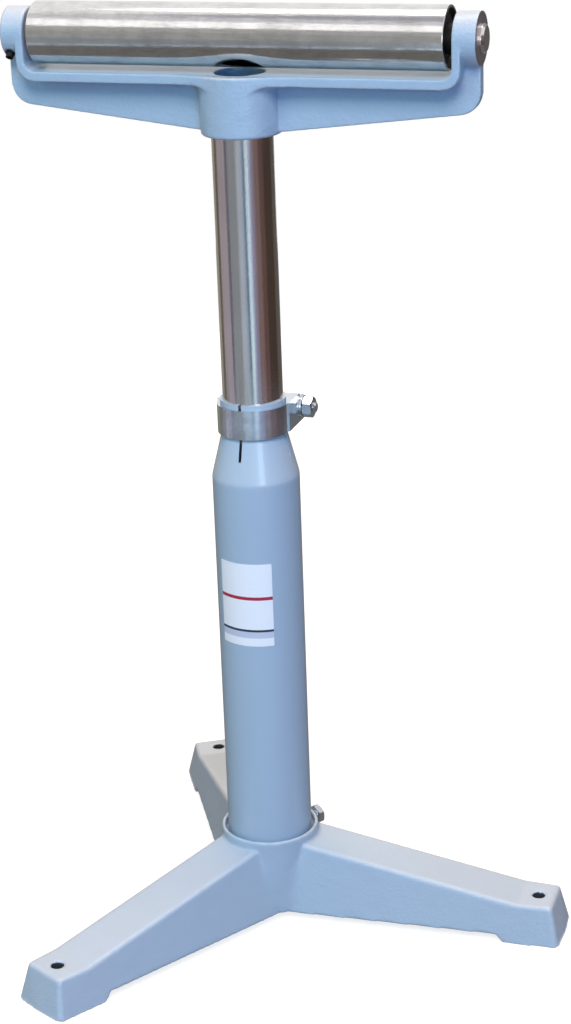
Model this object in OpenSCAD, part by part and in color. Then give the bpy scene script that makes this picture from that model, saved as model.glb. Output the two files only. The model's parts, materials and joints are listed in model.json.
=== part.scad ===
// Height-adjustable roller stand: a cast three-legged base, a steel column with a slotted
// neck and a clamp collar, a sliding mast, and a cast fork that carries a ball-bearing roller.
// X runs along the roller, Z is up, and the origin is on the floor under the column's axis.

/* [Base casting] */
// Diameter of the circle through the floor bolt holes
foot_circle_d = 500; // [440:5:560]
// Diameter of each floor bolt hole
foot_hole_d = 11; // [8:0.5:14]
// Distance from a bolt hole's axis to the corners of the foot's end, on the floor
foot_toe = 23.2; // [18:0.1:30]
// How far the middle of the foot's end bows out past its corners
foot_bow = 1.5; // [0.5:0.1:3]
// Width of a foot's end, on the floor
foot_end_w = 59.4; // [48:0.2:72]
// Length of the pad that stands on the floor
foot_pad_l = 50; // [42:1:60]
// Height of the flat top round each bolt hole
foot_h = 35.4; // [28:0.2:44]
// Length of that flat top, measured back from the bolt hole's axis
foot_flat_l = 16; // [12:0.5:22]
// How far the hub's rim stands above the legs' roots
rim_rise = 9.2; // [5:0.2:16]
// Height of the leg's lower edge above the floor
skirt_lift = 7; // [4:0.5:10]
// Angle by which the casting's walls lean in towards the top
draft_angle = 12.4; // [8:0.1:15]
// Slope of the step from the pad up to the leg's lower edge
pad_slant = 42; // [20:1:50]
// Growth of the leg's half width, for each unit of length towards the hub
leg_flare_share = 0.04; // [0:0.005:0.06]
// Thickness of the casting's walls
casting_wall = 6; // [5:0.25:8]
// Radius of the rounded edges along the top of the legs
leg_edge_r = 3.5; // [2:0.25:5]
// Radius of the rounded upright corners of the feet
foot_corner_r = 5; // [3:0.25:8]
// Wall of the solid boss round each floor bolt hole
foot_boss_wall = 6.5; // [4:0.5:9]
// Turn of the base about the column, against the roller's axis
base_turn = 1.24; // [0:0.01:20]

/* [Hub of the base] */
// Height of the hub's rim
hub_h = 78.2; // [76:0.2:90]
// Wall of the hub at its rim, outside the column
hub_wall = 6.1; // [5:0.1:10]
// Angle by which the hub widens downwards
hub_draft = 2; // [0:0.5:4]
// Radius of the rounded outer edge of the rim
rim_r = 1.5; // [0.5:0.1:2]
// Width of the recess between the rim and the column
rim_gap = 2.8; // [1:0.1:3]
// Depth of that recess
rim_recess = 8; // [4:0.5:10]
// Height of the ledge that the column stands on
seat_h = 14; // [12:0.5:20]
// Width of that ledge
seat_w = 7; // [4:0.5:9]
// Distance from the rim down to the set screw's axis
set_screw_drop = 15.9; // [13:0.1:22]

/* [Column] */
// Outer diameter of the column tube
column_d = 76; // [74:0.2:80]
// Wall thickness of the column tube
column_wall = 3.5; // [3:0.1:4]
// Height of the top of the column's neck
neck_top = 486.5; // [470:0.5:520]
// Length of the straight neck that shows under the collar
neck_foot = 2; // [1.8:0.1:6]
// Length of the cone between the tube and the neck
cone_l = 38; // [30:0.5:50]
// Wall thickness of the neck
neck_wall = 2.4; // [2:0.1:3]
// Radius of the rolled shoulders above and below the cone
shoulder_r = 14; // [6:0.5:20]
// Width of the slots that let the neck close on the mast
slot_w = 2.5; // [1.5:0.1:4]
// Length of these slots
slot_l = 49; // [40:0.5:58]
// Number of these slots
slot_count = 4; // [2:1:6]
// Direction of the first slot
slot_turn = 265.6; // [250:0.1:290]

/* [Clamp collar] */
// Height of the collar
collar_h = 25.5; // [22:0.5:28]
// How far the neck stands above the collar
collar_drop = 4; // [2:0.5:5]
// Wall thickness of the collar's ring
collar_wall = 2.7; // [2:0.1:4]
// How far each ear's outer face stands out past the ring
ear_proud = 1.3; // [0.4:0.1:5]
// Gap between the neck and the clamp bolt that passes behind it
bolt_gap = 1.55; // [1:0.05:5]
// Radius of the ears' rounded ends
ear_r = 10.5; // [10:0.25:12]
// Gap between the two ears
split_w = 4; // [3:0.25:6]
// Diameter of the clamp bolt
bolt_d = 10; // [8:0.5:10]
// Width across the flats of the clamp bolt's head and nut
bolt_af = 17; // [16:0.5:19]
// Height of the clamp bolt's head
bolt_head_h = 6.4; // [5:0.2:8]
// Height of the clamp bolt's nut
nut_h = 8.8; // [7:0.2:10]
// Length of the bolt's end beyond its nut
bolt_tail = 2.6; // [1:0.2:5]
// Outer diameter of the clamp bolt's washers
washer_d = 20; // [19:0.5:22]
// Thickness of these washers
washer_t = 1.8; // [1.2:0.1:2.5]

/* [Mast] */
// Outer diameter of the mast
mast_d = 52; // [50:0.2:53]
// Wall thickness of the mast
mast_wall = 3.5; // [3:0.1:4]
// Travel that the mast has left up to its stop at the column's cone
mast_rise = 151.5; // [130:0.5:155]
// Height of the guide ring round the mast's lower end
guide_h = 18; // [14:0.5:20]
// Thickness of the guide ring's retaining clips
guide_clip_t = 1.8; // [1.2:0.1:2.2]
// Width of these clips
guide_clip_w = 3; // [2.5:0.1:4]
// Depth of the mast's grooves for these clips
guide_groove = 1; // [0.6:0.1:1.4]

/* [Fork casting] */
// Height of the roller's axis above the floor
axle_h = 794; // [780:1:820]
// Gap between each end of the roller and its cheek
roller_end_gap = 5.5; // [3:0.25:8]
// Thickness of a cheek
cheek_t = 7; // [6:0.25:9]
// How far a boss stands out from its cheek
boss_out = 12.5; // [12:0.5:16]
// Width of the fork's strap, and of the cheeks and bosses
strap_w = 43; // [40:0.5:46]
// Thickness of the strap under the roller
strap_t = 8.1; // [7:0.1:9]
// Gap between the roller and the strap
roller_gap = 3.7; // [3:0.1:6]
// Inner radius of the strap's corners
corner_in_r = 9; // [7:0.5:11]
// Outer radius of the strap's corners
corner_out_r = 15; // [13:0.5:16]
// Wall of the fork's hub round the mast
fork_hub_wall = 8.05; // [7:0.05:10]
// Height of the fork's hub, from its lower face to the strap's top
fork_hub_h = 50.3; // [48:0.1:56]
// Radius with which the strap widens to the hub
flare_r = 120; // [90:5:150]
// Depth of the hub's bore for the mast
mast_seat = 31; // [28:0.5:34]
// Width of the shoulder on which the mast's top end seats
mast_shoulder = 5; // [4:0.25:8]
// Chamfer of the hub's lower edge
hub_chamfer = 1.5; // [1:0.25:3]
// Radius of the fillet between the hub and the strap
hub_fillet = 6; // [4:0.5:8]
// Thickness of the web under the strap
web_t = 10; // [8:0.5:12]
// Height of the web's lower edge above the hub's lower face
web_lift = 2.1; // [0:0.1:4]
// Height of the web at the cheeks
web_end_h = 20.5; // [18:0.5:24]
// Radius of the web's outer corners
web_corner_r = 18; // [14:0.5:20]

/* [Roller and axle] */
// Outer diameter of the roller
roller_d = 52; // [51:0.2:54]
// Length of the roller
roller_l = 355; // [350:1:360]
// Depth of each bearing's outer face inside the roller's end
bearing_inset = 3; // [1.5:0.1:5]
// Bore of the ball bearings, and diameter of the axle
bearing_bore = 20; // [18:0.5:20]
// Wall thickness of the roller tube
roller_wall = 2.45; // [2:0.05:3]
// Gap between a bearing's cage and its seals
seal_gap = 1.3; // [0.8:0.1:2]
// Number of balls in a bearing
ball_count = 8; // [6:1:9]
// Diameter of a ball
ball_d = 7.9; // [7:0.1:8]
// Thickness of the bearing seals
seal_t = 0.9; // [0.6:0.1:1.2]
// Diameter of the head at the axle's right end
axle_head_d = 24; // [23:0.5:28]
// Thickness of that head
axle_head_t = 4; // [3:0.25:5]
// How far the axle's left end stays inside its boss
axle_inset = 1.5; // [0.5:0.1:3]
// Wall of the spacers between the cheeks and the bearings
spacer_wall = 3; // [2:0.1:3.2]
// Thickness of the retaining rings behind the bearings
axle_clip_t = 1.2; // [1:0.1:1.6]
// Width of these rings
axle_clip_w = 2.6; // [2:0.1:3]
// Depth of the axle's grooves for them
axle_groove = 0.8; // [0.5:0.1:1.2]

/* [Set screws] */
// Diameter of the set screw in the base's hub
set_screw_d = 10; // [8:0.5:10]
// Length of thread that shows between the hub and the screw's head
set_screw_show = 10.7; // [6:0.1:14]
// Height of the set screw's head
set_screw_head_h = 6.4; // [5:0.2:8]
// Width across the flats of that head
set_screw_af = 16; // [14:0.5:17]
// Diameter of the grub screws in the fork
grub_d = 8; // [6:0.5:8]
// Distance from the left boss's end to the axle's grub screw
grub_inset = 5; // [4.5:0.25:6.5]
// How far the axle's grub screw stands out of its boss
grub_show = 4; // [2:0.5:8]
// Tilt of the axle's grub screw towards the front
grub_tilt = 42; // [30:1:60]
// Width across the flats of the grub screws' sockets
grub_socket = 4; // [3:0.5:4]
// Depth of these sockets
grub_socket_depth = 4; // [3:0.25:5]

/* [Label] */
// Width of the label, measured round the column
label_w = 50.3; // [40:0.5:56]
// Height of the label
label_h = 77; // [60:1:90]
// Distance from the column's cone down to the label's top edge
label_drop = 71; // [20:1:120]
// Direction in which the label faces
label_turn = 267.3; // [255:0.1:285]
// Thickness of the label
label_t = 0.2; // [0.15:0.05:0.4]

/* [Fits] */
// Radial clearance of pieces that turn or slide on each other
run_fit = 0.05; // [0.02:0.01:0.1]
// Radial clearance between the column and the hub's bore
column_fit = 0.2; // [0.05:0.05:0.4]
// Gap left between the ends of pieces that turn against each other
end_play = 0.1; // [0.05:0.05:0.3]

/* [Hidden] */

paint = [0.62, 0.71, 0.79];
steel = [0.75, 0.76, 0.78];
zinc = [0.72, 0.76, 0.76];
black_rubber = [0.08, 0.08, 0.09];

// How far a cutting shape runs past the face that it cuts
overrun = 1;
$fn = 96;
// Facets of the rounded corners that a hull joins
corner_facets = 20;
leg_count = 3;
sides = [-1, 1];

foot_r = foot_circle_d / 2;
leg_reach = foot_r + foot_toe;
leg_root_h = hub_h - rim_rise;
flat_start = foot_r - foot_flat_l;
pad_start = leg_reach - foot_pad_l;
column_r = column_d / 2;
hub_r = column_r + hub_wall;
hub_foot_r = hub_r + (hub_h - skirt_lift) * tan(hub_draft);
hub_bore_r = column_r + column_fit;
mast_r = mast_d / 2;
neck_bore_r = mast_r + run_fit;
neck_r = neck_bore_r + neck_wall;
neck_low = neck_top - collar_drop - collar_h - neck_foot;
cone_low = neck_low - cone_l;
// The inside of the cone follows the outside, so that it keeps its wall
cone_in_low = cone_low - column_wall / 2;
cone_in_high = neck_low - neck_wall / 2;
collar_top = neck_top - collar_drop;
collar_low = collar_top - collar_h;
collar_bore_r = neck_r + run_fit;
collar_r = collar_bore_r + collar_wall;
bolt_r = bolt_d / 2;
bolt_back = neck_r + bolt_gap + bolt_r;
bolt_z = collar_low + ear_r + (collar_h - 2 * ear_r) / 4;
ear_out = collar_r + ear_proud;
ear_span = 2 * ear_out;

roller_r = roller_d / 2;
strap_top = axle_h - roller_r - roller_gap;
strap_low = strap_top - strap_t;
fork_hub_low = strap_top - fork_hub_h;
fork_hub_r = mast_r + run_fit + fork_hub_wall;
cheek_in = roller_l / 2 + roller_end_gap;
cheek_out = cheek_in + cheek_t;
boss_end = cheek_out + boss_out;
boss_r = strap_w / 2;
mast_top = fork_hub_low + mast_seat;

axle_r = bearing_bore / 2;
bearing_r = roller_r - roller_wall - run_fit;
pitch_r = (axle_r + bearing_r) / 2;
ball_r = ball_d / 2;
// Share of the gap between the bearing's bore and rim that each ring fills
ring_share = 0.24;
ring_t = (bearing_r - axle_r) * ring_share;
race_r = ball_r + run_fit;
// Share of a ball's radius by which the cage's band is thick, and stands out beside the ball
cage_wall_share = 0.34;
cage_side_share = 0.14;
// Share of a seal's thickness by which it lies inside its bearing's face
seal_inset_share = 1 / 3;
cage_half_w = ball_r * (1 + cage_side_share);
bearing_half_w = cage_half_w + seal_gap + seal_t * (1 + seal_inset_share);
bearing_w = 2 * bearing_half_w;
bearing_out = roller_l / 2 - bearing_inset;
bearing_in = bearing_out - bearing_w;
bearing_mid = bearing_out - bearing_half_w;

// A corner of a path rounded with a radius: points along the arc from one edge to the next
function unit(v) = v / norm(v);
function corner_arc(a, b, c, r, steps) =
    let (
        u = unit(a - b), w = unit(c - b),
        half = acos(u * w) / 2,
        mid = b + unit(u + w) * r / sin(half),
        start = b + u * r / tan(half) - mid,
        turn = (u[0] * w[1] - u[1] * w[0] > 0 ? -1 : 1) * (180 - 2 * half)
    )
    [for (i = [0:steps])
        let (angle = turn * i / steps)
        mid + [start[0] * cos(angle) - start[1] * sin(angle),
               start[0] * sin(angle) + start[1] * cos(angle)]];

// A closed path with its own radius at each point; a radius of 0 keeps the corner sharp
function soft_path(points, radii, steps = 8) =
    let (n = len(points))
    [for (i = [0:n - 1])
        each (radii[i] > 0
            ? corner_arc(points[(i + n - 1) % n], points[i], points[(i + 1) % n], radii[i], steps)
            : [points[i]])];

module along_x(height) {
    rotate([0, 90, 0]) cylinder(r = height[0], h = height[1], center = true);
}

module hex_prism(across_flats, height) {
    cylinder(r = across_flats / 2 / cos(30), h = height, $fn = 6);
}

// Base casting

// Half width of a leg on the floor, at a distance from the column's axis
function leg_half(rho) = foot_end_w / 2 + leg_flare_share * (leg_reach - rho);
// Height of the leg's top at that distance
leg_slope = (leg_root_h - foot_h) / (flat_start - hub_r);
function leg_top(rho) = foot_h + max(0, flat_start - rho) * leg_slope;
// The legs start where their walls come near the hub's foot, and are cut off inside the hub's wall
leg_start = sqrt(hub_foot_r * hub_foot_r - leg_half(hub_r) * leg_half(hub_r)) + leg_edge_r;
leg_root_r = (hub_bore_r + hub_r) / 2;

module leg_corner_pair(rho, end_lean) {
    // Rounded edge at the top, tangent to the leaning wall
    edge_z = leg_top(rho) - leg_edge_r;
    edge_x = rho - end_lean * (edge_z * tan(draft_angle) + leg_edge_r / cos(draft_angle));
    edge_y = leg_half(rho) - edge_z * tan(draft_angle) - leg_edge_r / cos(draft_angle);
    foot_x = rho - end_lean * foot_corner_r;
    foot_y = leg_half(rho) - foot_corner_r;
    for (side = sides) {
        translate([edge_x, side * edge_y, edge_z])
            sphere(r = leg_edge_r, $fn = corner_facets);
        translate([foot_x, side * foot_y, 0])
            cylinder(r = foot_corner_r, h = foot_corner_r / corner_facets, $fn = corner_facets);
    }
}

module leg_outside() {
    hull() {
        leg_corner_pair(leg_start, 0);
        leg_corner_pair(flat_start, 0);
    }
    hull() {
        leg_corner_pair(flat_start, 0);
        leg_corner_pair(leg_reach, 1);
        translate([leg_reach + foot_bow - foot_corner_r, 0, 0])
            cylinder(r = foot_corner_r, h = foot_corner_r / corner_facets, $fn = corner_facets);
    }
}

// Hollow under a leg: a tapered channel, closed by the roof and the toe
module leg_hollow() {
    channel_half = foot_end_w / 2 - casting_wall / cos(draft_angle);
    channel_top = leg_root_h;
    hollow_start = hub_foot_r + casting_wall / 2;
    toe_x = leg_reach - casting_wall / cos(draft_angle);
    roof_z = foot_h - casting_wall;
    intersection() {
        rotate([90, 0, 90])
            linear_extrude(leg_reach)
                polygon([
                    [-channel_half - overrun * tan(draft_angle), -overrun],
                    [channel_half + overrun * tan(draft_angle), -overrun],
                    [channel_half - channel_top * tan(draft_angle), channel_top],
                    [-channel_half + channel_top * tan(draft_angle), channel_top]
                ]);
        rotate([90, 0, 0])
            linear_extrude(foot_end_w, center = true)
                polygon([
                    [hollow_start, -overrun],
                    [toe_x, -overrun],
                    [toe_x - roof_z * tan(draft_angle), roof_z],
                    [flat_start, roof_z],
                    [hollow_start, leg_top(hollow_start) - casting_wall]
                ]);
    }
}

// Clearance under a leg, from the hub to the pad
module leg_arch() {
    step_x = pad_start - skirt_lift * tan(pad_slant);
    rotate([90, 0, 0])
        linear_extrude(2 * leg_half(0), center = true)
            polygon([
                [-overrun, -overrun],
                [pad_start + overrun * tan(pad_slant), -overrun],
                [step_x, skirt_lift],
                [-overrun, skirt_lift]
            ]);
}

module hub_outside() {
    rotate_extrude() {
        polygon([
            [0, skirt_lift],
            [hub_foot_r, skirt_lift],
            [hub_r, hub_h - rim_r],
            [hub_r - rim_r, hub_h],
            [0, hub_h]
        ]);
        translate([hub_r - rim_r, hub_h - rim_r]) circle(r = rim_r);
    }
}

module hub_hollow() {
    recess_low = hub_h - rim_recess;
    translate([0, 0, seat_h]) cylinder(r = hub_bore_r, h = hub_h);
    translate([0, 0, recess_low]) cylinder(r = column_r + rim_gap, h = hub_h);
    translate([0, 0, -overrun]) cylinder(r = column_r - seat_w, h = hub_h);
}

// The hub's set screw stands midway between the first and the second leg
module at_set_screw() {
    rotate([0, 0, 180 / leg_count])
        translate([0, 0, hub_h - set_screw_drop])
            rotate([0, 90, 0])
                children();
}

module base_casting() {
    color(paint)
        rotate([0, 0, base_turn])
            difference() {
                union() {
                    hub_outside();
                    for (i = [0:leg_count - 1])
                        rotate([0, 0, i * 360 / leg_count])
                            difference() {
                                leg_outside();
                                leg_arch();
                                translate([0, 0, -overrun])
                                    cylinder(r = leg_root_r, h = hub_h + 2 * overrun);
                            }
                }
                hub_hollow();
                for (i = [0:leg_count - 1])
                    rotate([0, 0, i * 360 / leg_count]) {
                        difference() {
                            leg_hollow();
                            translate([foot_r, 0, 0])
                                cylinder(d = foot_hole_d + 2 * foot_boss_wall, h = foot_h);
                        }
                        translate([foot_r, 0, -overrun])
                            cylinder(d = foot_hole_d, h = foot_h + 2 * overrun);
                    }
                at_set_screw()
                    cylinder(r = set_screw_d / 2 + run_fit, h = hub_foot_r + overrun);
            }
}

module hub_set_screw() {
    tip = column_r + run_fit;
    head_start = hub_r + set_screw_show;
    color(zinc)
        rotate([0, 0, base_turn])
            at_set_screw() {
                translate([0, 0, tip]) cylinder(d = set_screw_d, h = head_start - tip);
                translate([0, 0, head_start]) hex_prism(set_screw_af, set_screw_head_h);
            }
}

// Column

module column_tube() {
    bore_r = column_r - column_wall;
    profile = soft_path(
        [
            [bore_r, seat_h],
            [column_r, seat_h],
            [column_r, cone_low],
            [neck_r, neck_low],
            [neck_r, neck_top],
            [neck_bore_r, neck_top],
            [neck_bore_r, cone_in_high],
            [bore_r, cone_in_low]
        ],
        [0, 0, shoulder_r, shoulder_r, 0, 0, 0, 0]);
    color(paint)
        difference() {
            rotate_extrude() polygon(profile);
            for (i = [0:slot_count - 1])
                rotate([0, 0, slot_turn + i * 360 / slot_count])
                    translate([0, 0, neck_top - slot_l]) {
                        translate([0, -slot_w / 2, 0])
                            cube([column_d, slot_w, slot_l + overrun]);
                        rotate([0, 90, 0]) cylinder(d = slot_w, h = column_d);
                    }
        }
}

module column_label() {
    inside_r = column_r + run_fit;
    sweep_angle = label_w / inside_r * 180 / PI;
    color("white")
        rotate([0, 0, label_turn - sweep_angle / 2])
            translate([0, 0, cone_low - label_drop - label_h])
                rotate_extrude(angle = sweep_angle)
                    translate([inside_r, 0]) square([label_t, label_h]);
}

// Clamp collar

// Side view of the collar's ears: straight below, and falling to a round end at the back
module ear_outline() {
    hull_top = collar_top - collar_low;
    fall_start = neck_r;
    bolt_rise = bolt_z - collar_low;
    // The slope of the top is tangent to the round end
    run = bolt_back - fall_start;
    drop = hull_top - bolt_rise;
    reach = norm([run, drop]);
    tangent_angle = 90 - atan2(drop, run) - acos(ear_r / reach);
    touch = [bolt_back + ear_r * sin(tangent_angle), bolt_rise + ear_r * cos(tangent_angle)];
    polygon([
        [0, 0],
        [bolt_back, 0],
        [bolt_back, bolt_rise],
        touch,
        [fall_start, hull_top],
        [0, hull_top]
    ]);
    translate([bolt_back, bolt_rise]) circle(r = ear_r);
    // Straight back below the bolt
    translate([bolt_back, 0]) square([ear_r * sin(45), bolt_rise - ear_r * cos(45)]);
}

module clamp_collar() {
    color(zinc)
        difference() {
            union() {
                translate([0, 0, collar_low]) cylinder(r = collar_r, h = collar_h);
                translate([-ear_out, 0, collar_low])
                    rotate([90, 0, 90])
                        linear_extrude(ear_span)
                            ear_outline();
            }
            translate([0, 0, collar_low - overrun])
                cylinder(r = collar_bore_r, h = collar_h + 2 * overrun);
            translate([-split_w / 2, 0, collar_low - overrun])
                cube([split_w, bolt_back + 2 * ear_r, collar_h + 2 * overrun]);
            translate([0, bolt_back, bolt_z])
                along_x([bolt_r + run_fit, ear_span + 2 * overrun]);
        }
}

module at_clamp_bolt(x) {
    translate([x, bolt_back, bolt_z])
        rotate([0, 90, 0])
            children();
}

bolt_head_x = -ear_out - washer_t - bolt_head_h;
nut_x = ear_out + washer_t + end_play;
bolt_end_x = nut_x + nut_h + bolt_tail;

module clamp_bolt() {
    color(zinc) {
        at_clamp_bolt(bolt_head_x) hex_prism(bolt_af, bolt_head_h);
        at_clamp_bolt(bolt_head_x + bolt_head_h)
            cylinder(r = bolt_r, h = bolt_end_x - bolt_head_x - bolt_head_h);
    }
}

module clamp_washers() {
    color(zinc)
        for (x = [-ear_out - washer_t, ear_out])
            at_clamp_bolt(x)
                difference() {
                    cylinder(d = washer_d, h = washer_t);
                    translate([0, 0, -overrun])
                        cylinder(r = bolt_r + run_fit, h = washer_t + 2 * overrun);
                }
}

module clamp_nut() {
    color(zinc)
        at_clamp_bolt(nut_x)
            difference() {
                intersection() {
                    hex_prism(bolt_af, nut_h);
                    // Chamfered corners at both faces
                    rotate_extrude()
                        polygon([
                            [0, 0],
                            [bolt_af / 2, 0],
                            [bolt_af / 2 / cos(30), nut_chamfer],
                            [bolt_af / 2 / cos(30), nut_h - nut_chamfer],
                            [bolt_af / 2, nut_h],
                            [0, nut_h]
                        ]);
                }
                translate([0, 0, -overrun])
                    cylinder(r = bolt_r + run_fit, h = nut_h + 2 * overrun);
            }
}
nut_chamfer = bolt_af / 2 * (1 / cos(30) - 1) * tan(30);

// Mast

// The upper clip meets the cone at the top of the mast's travel
guide_top = cone_in_low - mast_rise - end_play - guide_clip_t;
guide_low = guide_top - guide_h;
mast_low = guide_low - 2 * guide_clip_t;
clip_heights = [guide_low - end_play - guide_clip_t, guide_top + end_play];

module clip_ring(inner_r, width, thickness, gap_angle) {
    rotate([0, 0, gap_angle / 2])
        rotate_extrude(angle = 360 - gap_angle)
            translate([inner_r, 0]) square([width, thickness]);
}

module mast_tube() {
    color(steel)
        difference() {
            translate([0, 0, mast_low]) cylinder(r = mast_r, h = mast_top - mast_low);
            translate([0, 0, mast_low - overrun])
                cylinder(r = mast_r - mast_wall, h = mast_top - mast_low + 2 * overrun);
            for (z = clip_heights)
                translate([0, 0, z - run_fit])
                    difference() {
                        cylinder(r = mast_r + overrun, h = guide_clip_t + 2 * run_fit);
                        translate([0, 0, -overrun])
                            cylinder(r = mast_r - guide_groove,
                                     h = guide_clip_t + 2 * overrun + 2 * run_fit);
                    }
        }
}

module mast_guide_ring() {
    color(black_rubber)
        difference() {
            translate([0, 0, guide_low])
                cylinder(r = column_r - column_wall - run_fit, h = guide_h);
            translate([0, 0, guide_low - overrun])
                cylinder(r = mast_r + run_fit, h = guide_h + 2 * overrun);
        }
}

module mast_guide_clips() {
    color(steel)
        for (z = clip_heights)
            translate([0, 0, z])
                clip_ring(mast_r - guide_groove + run_fit, guide_clip_w, guide_clip_t, clip_gap_angle);
}
clip_gap_angle = 36;

// Fork casting

// Front view of the strap: a wide U with round corners, filled up to the axle's height
module strap_outline() {
    difference() {
        polygon(soft_path(
            [
                [-cheek_out, strap_low], [cheek_out, strap_low],
                [cheek_out, axle_h], [-cheek_out, axle_h]
            ],
            [corner_out_r, corner_out_r, 0, 0]));
        polygon(soft_path(
            [
                [-cheek_in, strap_top], [cheek_in, strap_top],
                [cheek_in, axle_h + overrun], [-cheek_in, axle_h + overrun]
            ],
            [corner_in_r, corner_in_r, 0, 0]));
    }
}

// Top view of the strap where it widens, in a long curve, to the hub
module flare_outline() {
    arc_y = boss_r + flare_r;
    arc_x = sqrt(pow(fork_hub_r + flare_r, 2) - pow(arc_y, 2));
    touch = [arc_x, arc_y] * fork_hub_r / (fork_hub_r + flare_r);
    circle(r = fork_hub_r);
    for (side_x = sides, side_y = sides)
        scale([side_x, side_y])
            difference() {
                polygon([[0, 0], [arc_x, 0], [arc_x, boss_r], touch, [0, touch[1]]]);
                translate([arc_x, arc_y]) circle(r = flare_r);
            }
}

// Front view of the web: it tapers from the hub to the cheeks and wraps up to the bosses
module web_outline() {
    outer = soft_path(
        [
            [-boss_end, axle_h],
            [-boss_end, strap_low - web_end_h],
            [-fork_hub_r, fork_hub_low + web_lift],
            [fork_hub_r, fork_hub_low + web_lift],
            [boss_end, strap_low - web_end_h],
            [boss_end, axle_h]
        ],
        [0, web_corner_r, 0, 0, web_corner_r, 0]);
    inner = soft_path(
        [
            [-cheek_in - cheek_t / 2, axle_h + overrun],
            [-cheek_in - cheek_t / 2, strap_low + strap_t / 2],
            [cheek_in + cheek_t / 2, strap_low + strap_t / 2],
            [cheek_in + cheek_t / 2, axle_h + overrun]
        ],
        [0, corner_in_r, corner_in_r, 0]);
    difference() {
        polygon(outer);
        polygon(inner);
    }
}

// Hub of the fork, with a fillet that stays under the strap
module fork_hub() {
    translate([0, 0, fork_hub_low + hub_chamfer])
        cylinder(r = fork_hub_r, h = strap_top - fork_hub_low - hub_chamfer);
    translate([0, 0, fork_hub_low])
        cylinder(r1 = fork_hub_r - hub_chamfer, r2 = fork_hub_r, h = hub_chamfer);
    intersection() {
        translate([0, 0, strap_low - hub_fillet])
            rotate_extrude()
                difference() {
                    square([fork_hub_r + hub_fillet, hub_fillet]);
                    translate([fork_hub_r + hub_fillet, 0]) circle(r = hub_fillet);
                }
        translate([0, 0, strap_low - hub_fillet])
            linear_extrude(hub_fillet) {
                flare_outline();
                square([2 * cheek_in, strap_w], center = true);
            }
    }
}

module at_axle_grub() {
    translate([grub_inset - boss_end, 0, axle_h])
        rotate([180 - grub_tilt, 0, 0])
            children();
}

module at_mast_grub() {
    translate([0, 0, fork_hub_low + mast_seat / 2])
        rotate([-90, 0, 0])
            children();
}

module fork_casting() {
    color(paint)
        difference() {
            union() {
                translate([0, boss_r, 0])
                    rotate([90, 0, 0])
                        linear_extrude(strap_w)
                            strap_outline();
                translate([0, 0, strap_low])
                    linear_extrude(strap_t)
                        flare_outline();
                translate([0, web_t / 2, 0])
                    rotate([90, 0, 0])
                        linear_extrude(web_t)
                            web_outline();
                fork_hub();
                for (side = sides)
                    translate([side * (cheek_in + boss_end) / 2, 0, axle_h])
                        along_x([boss_r, boss_end - cheek_in]);
            }
            translate([0, 0, fork_hub_low - overrun])
                cylinder(r = mast_r + run_fit, h = mast_seat + overrun);
            translate([0, 0, fork_hub_low])
                cylinder(r = mast_r - mast_shoulder, h = fork_hub_h + overrun);
            translate([0, 0, axle_h])
                along_x([axle_r + run_fit, 2 * (boss_end + overrun)]);
            at_axle_grub() cylinder(r = grub_d / 2 + run_fit, h = 2 * boss_r);
            at_mast_grub() cylinder(r = grub_d / 2 + run_fit, h = fork_hub_r + overrun);
        }
}

// A headless screw with a hexagon socket, from its tip outwards
module grub_screw(length) {
    difference() {
        cylinder(d = grub_d, h = length);
        translate([0, 0, length - grub_socket_depth])
            hex_prism(grub_socket, grub_socket_depth + overrun);
    }
}

module axle_grub_screw() {
    tip = axle_r + run_fit;
    color("dimgray")
        at_axle_grub()
            translate([0, 0, tip])
                grub_screw(boss_r + grub_show - tip);
}

module mast_grub_screw() {
    tip = mast_r + run_fit;
    color("dimgray")
        at_mast_grub()
            translate([0, 0, tip])
                grub_screw(fork_hub_r - tip);
}

// Roller, bearings and axle

module roller_tube() {
    color(steel)
        translate([0, 0, axle_h])
            difference() {
                along_x([roller_r, roller_l]);
                along_x([bearing_r + run_fit, roller_l + 2 * overrun]);
            }
}

module axle() {
    left_end = -boss_end + axle_inset;
    chamfer = (axle_head_d - bearing_bore) / 2;
    color(steel)
        translate([0, 0, axle_h])
            difference() {
                union() {
                    translate([left_end, 0, 0])
                        rotate([0, 90, 0])
                            cylinder(r = axle_r, h = boss_end - left_end);
                    translate([boss_end, 0, 0])
                        rotate([0, 90, 0]) {
                            cylinder(d = axle_head_d, h = axle_head_t - chamfer);
                            translate([0, 0, axle_head_t - chamfer])
                                cylinder(r1 = axle_head_d / 2, r2 = axle_r, h = chamfer);
                        }
                }
                for (side = sides)
                    translate([side * (bearing_in - axle_clip_t / 2), 0, 0])
                        difference() {
                            along_x([axle_r + overrun, axle_clip_t + 2 * run_fit]);
                            along_x([axle_r - axle_groove, axle_clip_t + 2 * overrun]);
                        }
            }
}

module axle_spacer(side) {
    length = cheek_in - bearing_out;
    color(steel)
        translate([side * (cheek_in + bearing_out) / 2, 0, axle_h])
            difference() {
                along_x([axle_r + spacer_wall, length]);
                along_x([axle_r + run_fit, length + 2 * overrun]);
            }
}

module axle_clip(side) {
    color(steel)
        translate([side * bearing_in, 0, axle_h])
            rotate([0, -side * 90, 0])
                clip_ring(axle_r - axle_groove + run_fit, axle_clip_w, axle_clip_t, clip_gap_angle);
}

module at_bearing(side) {
    translate([side * bearing_mid, 0, axle_h])
        rotate([0, side * 90, 0])
            children();
}

module bearing_race(low_r, high_r) {
    rotate_extrude()
        difference() {
            translate([low_r, -bearing_half_w]) square([high_r - low_r, bearing_w]);
            translate([pitch_r, 0]) circle(r = race_r);
        }
}

module bearing_outer_ring(side) {
    color(steel) at_bearing(side) bearing_race(bearing_r - ring_t, bearing_r);
}

module bearing_inner_ring(side) {
    color(steel) at_bearing(side) bearing_race(axle_r + run_fit, axle_r + ring_t);
}

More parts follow.
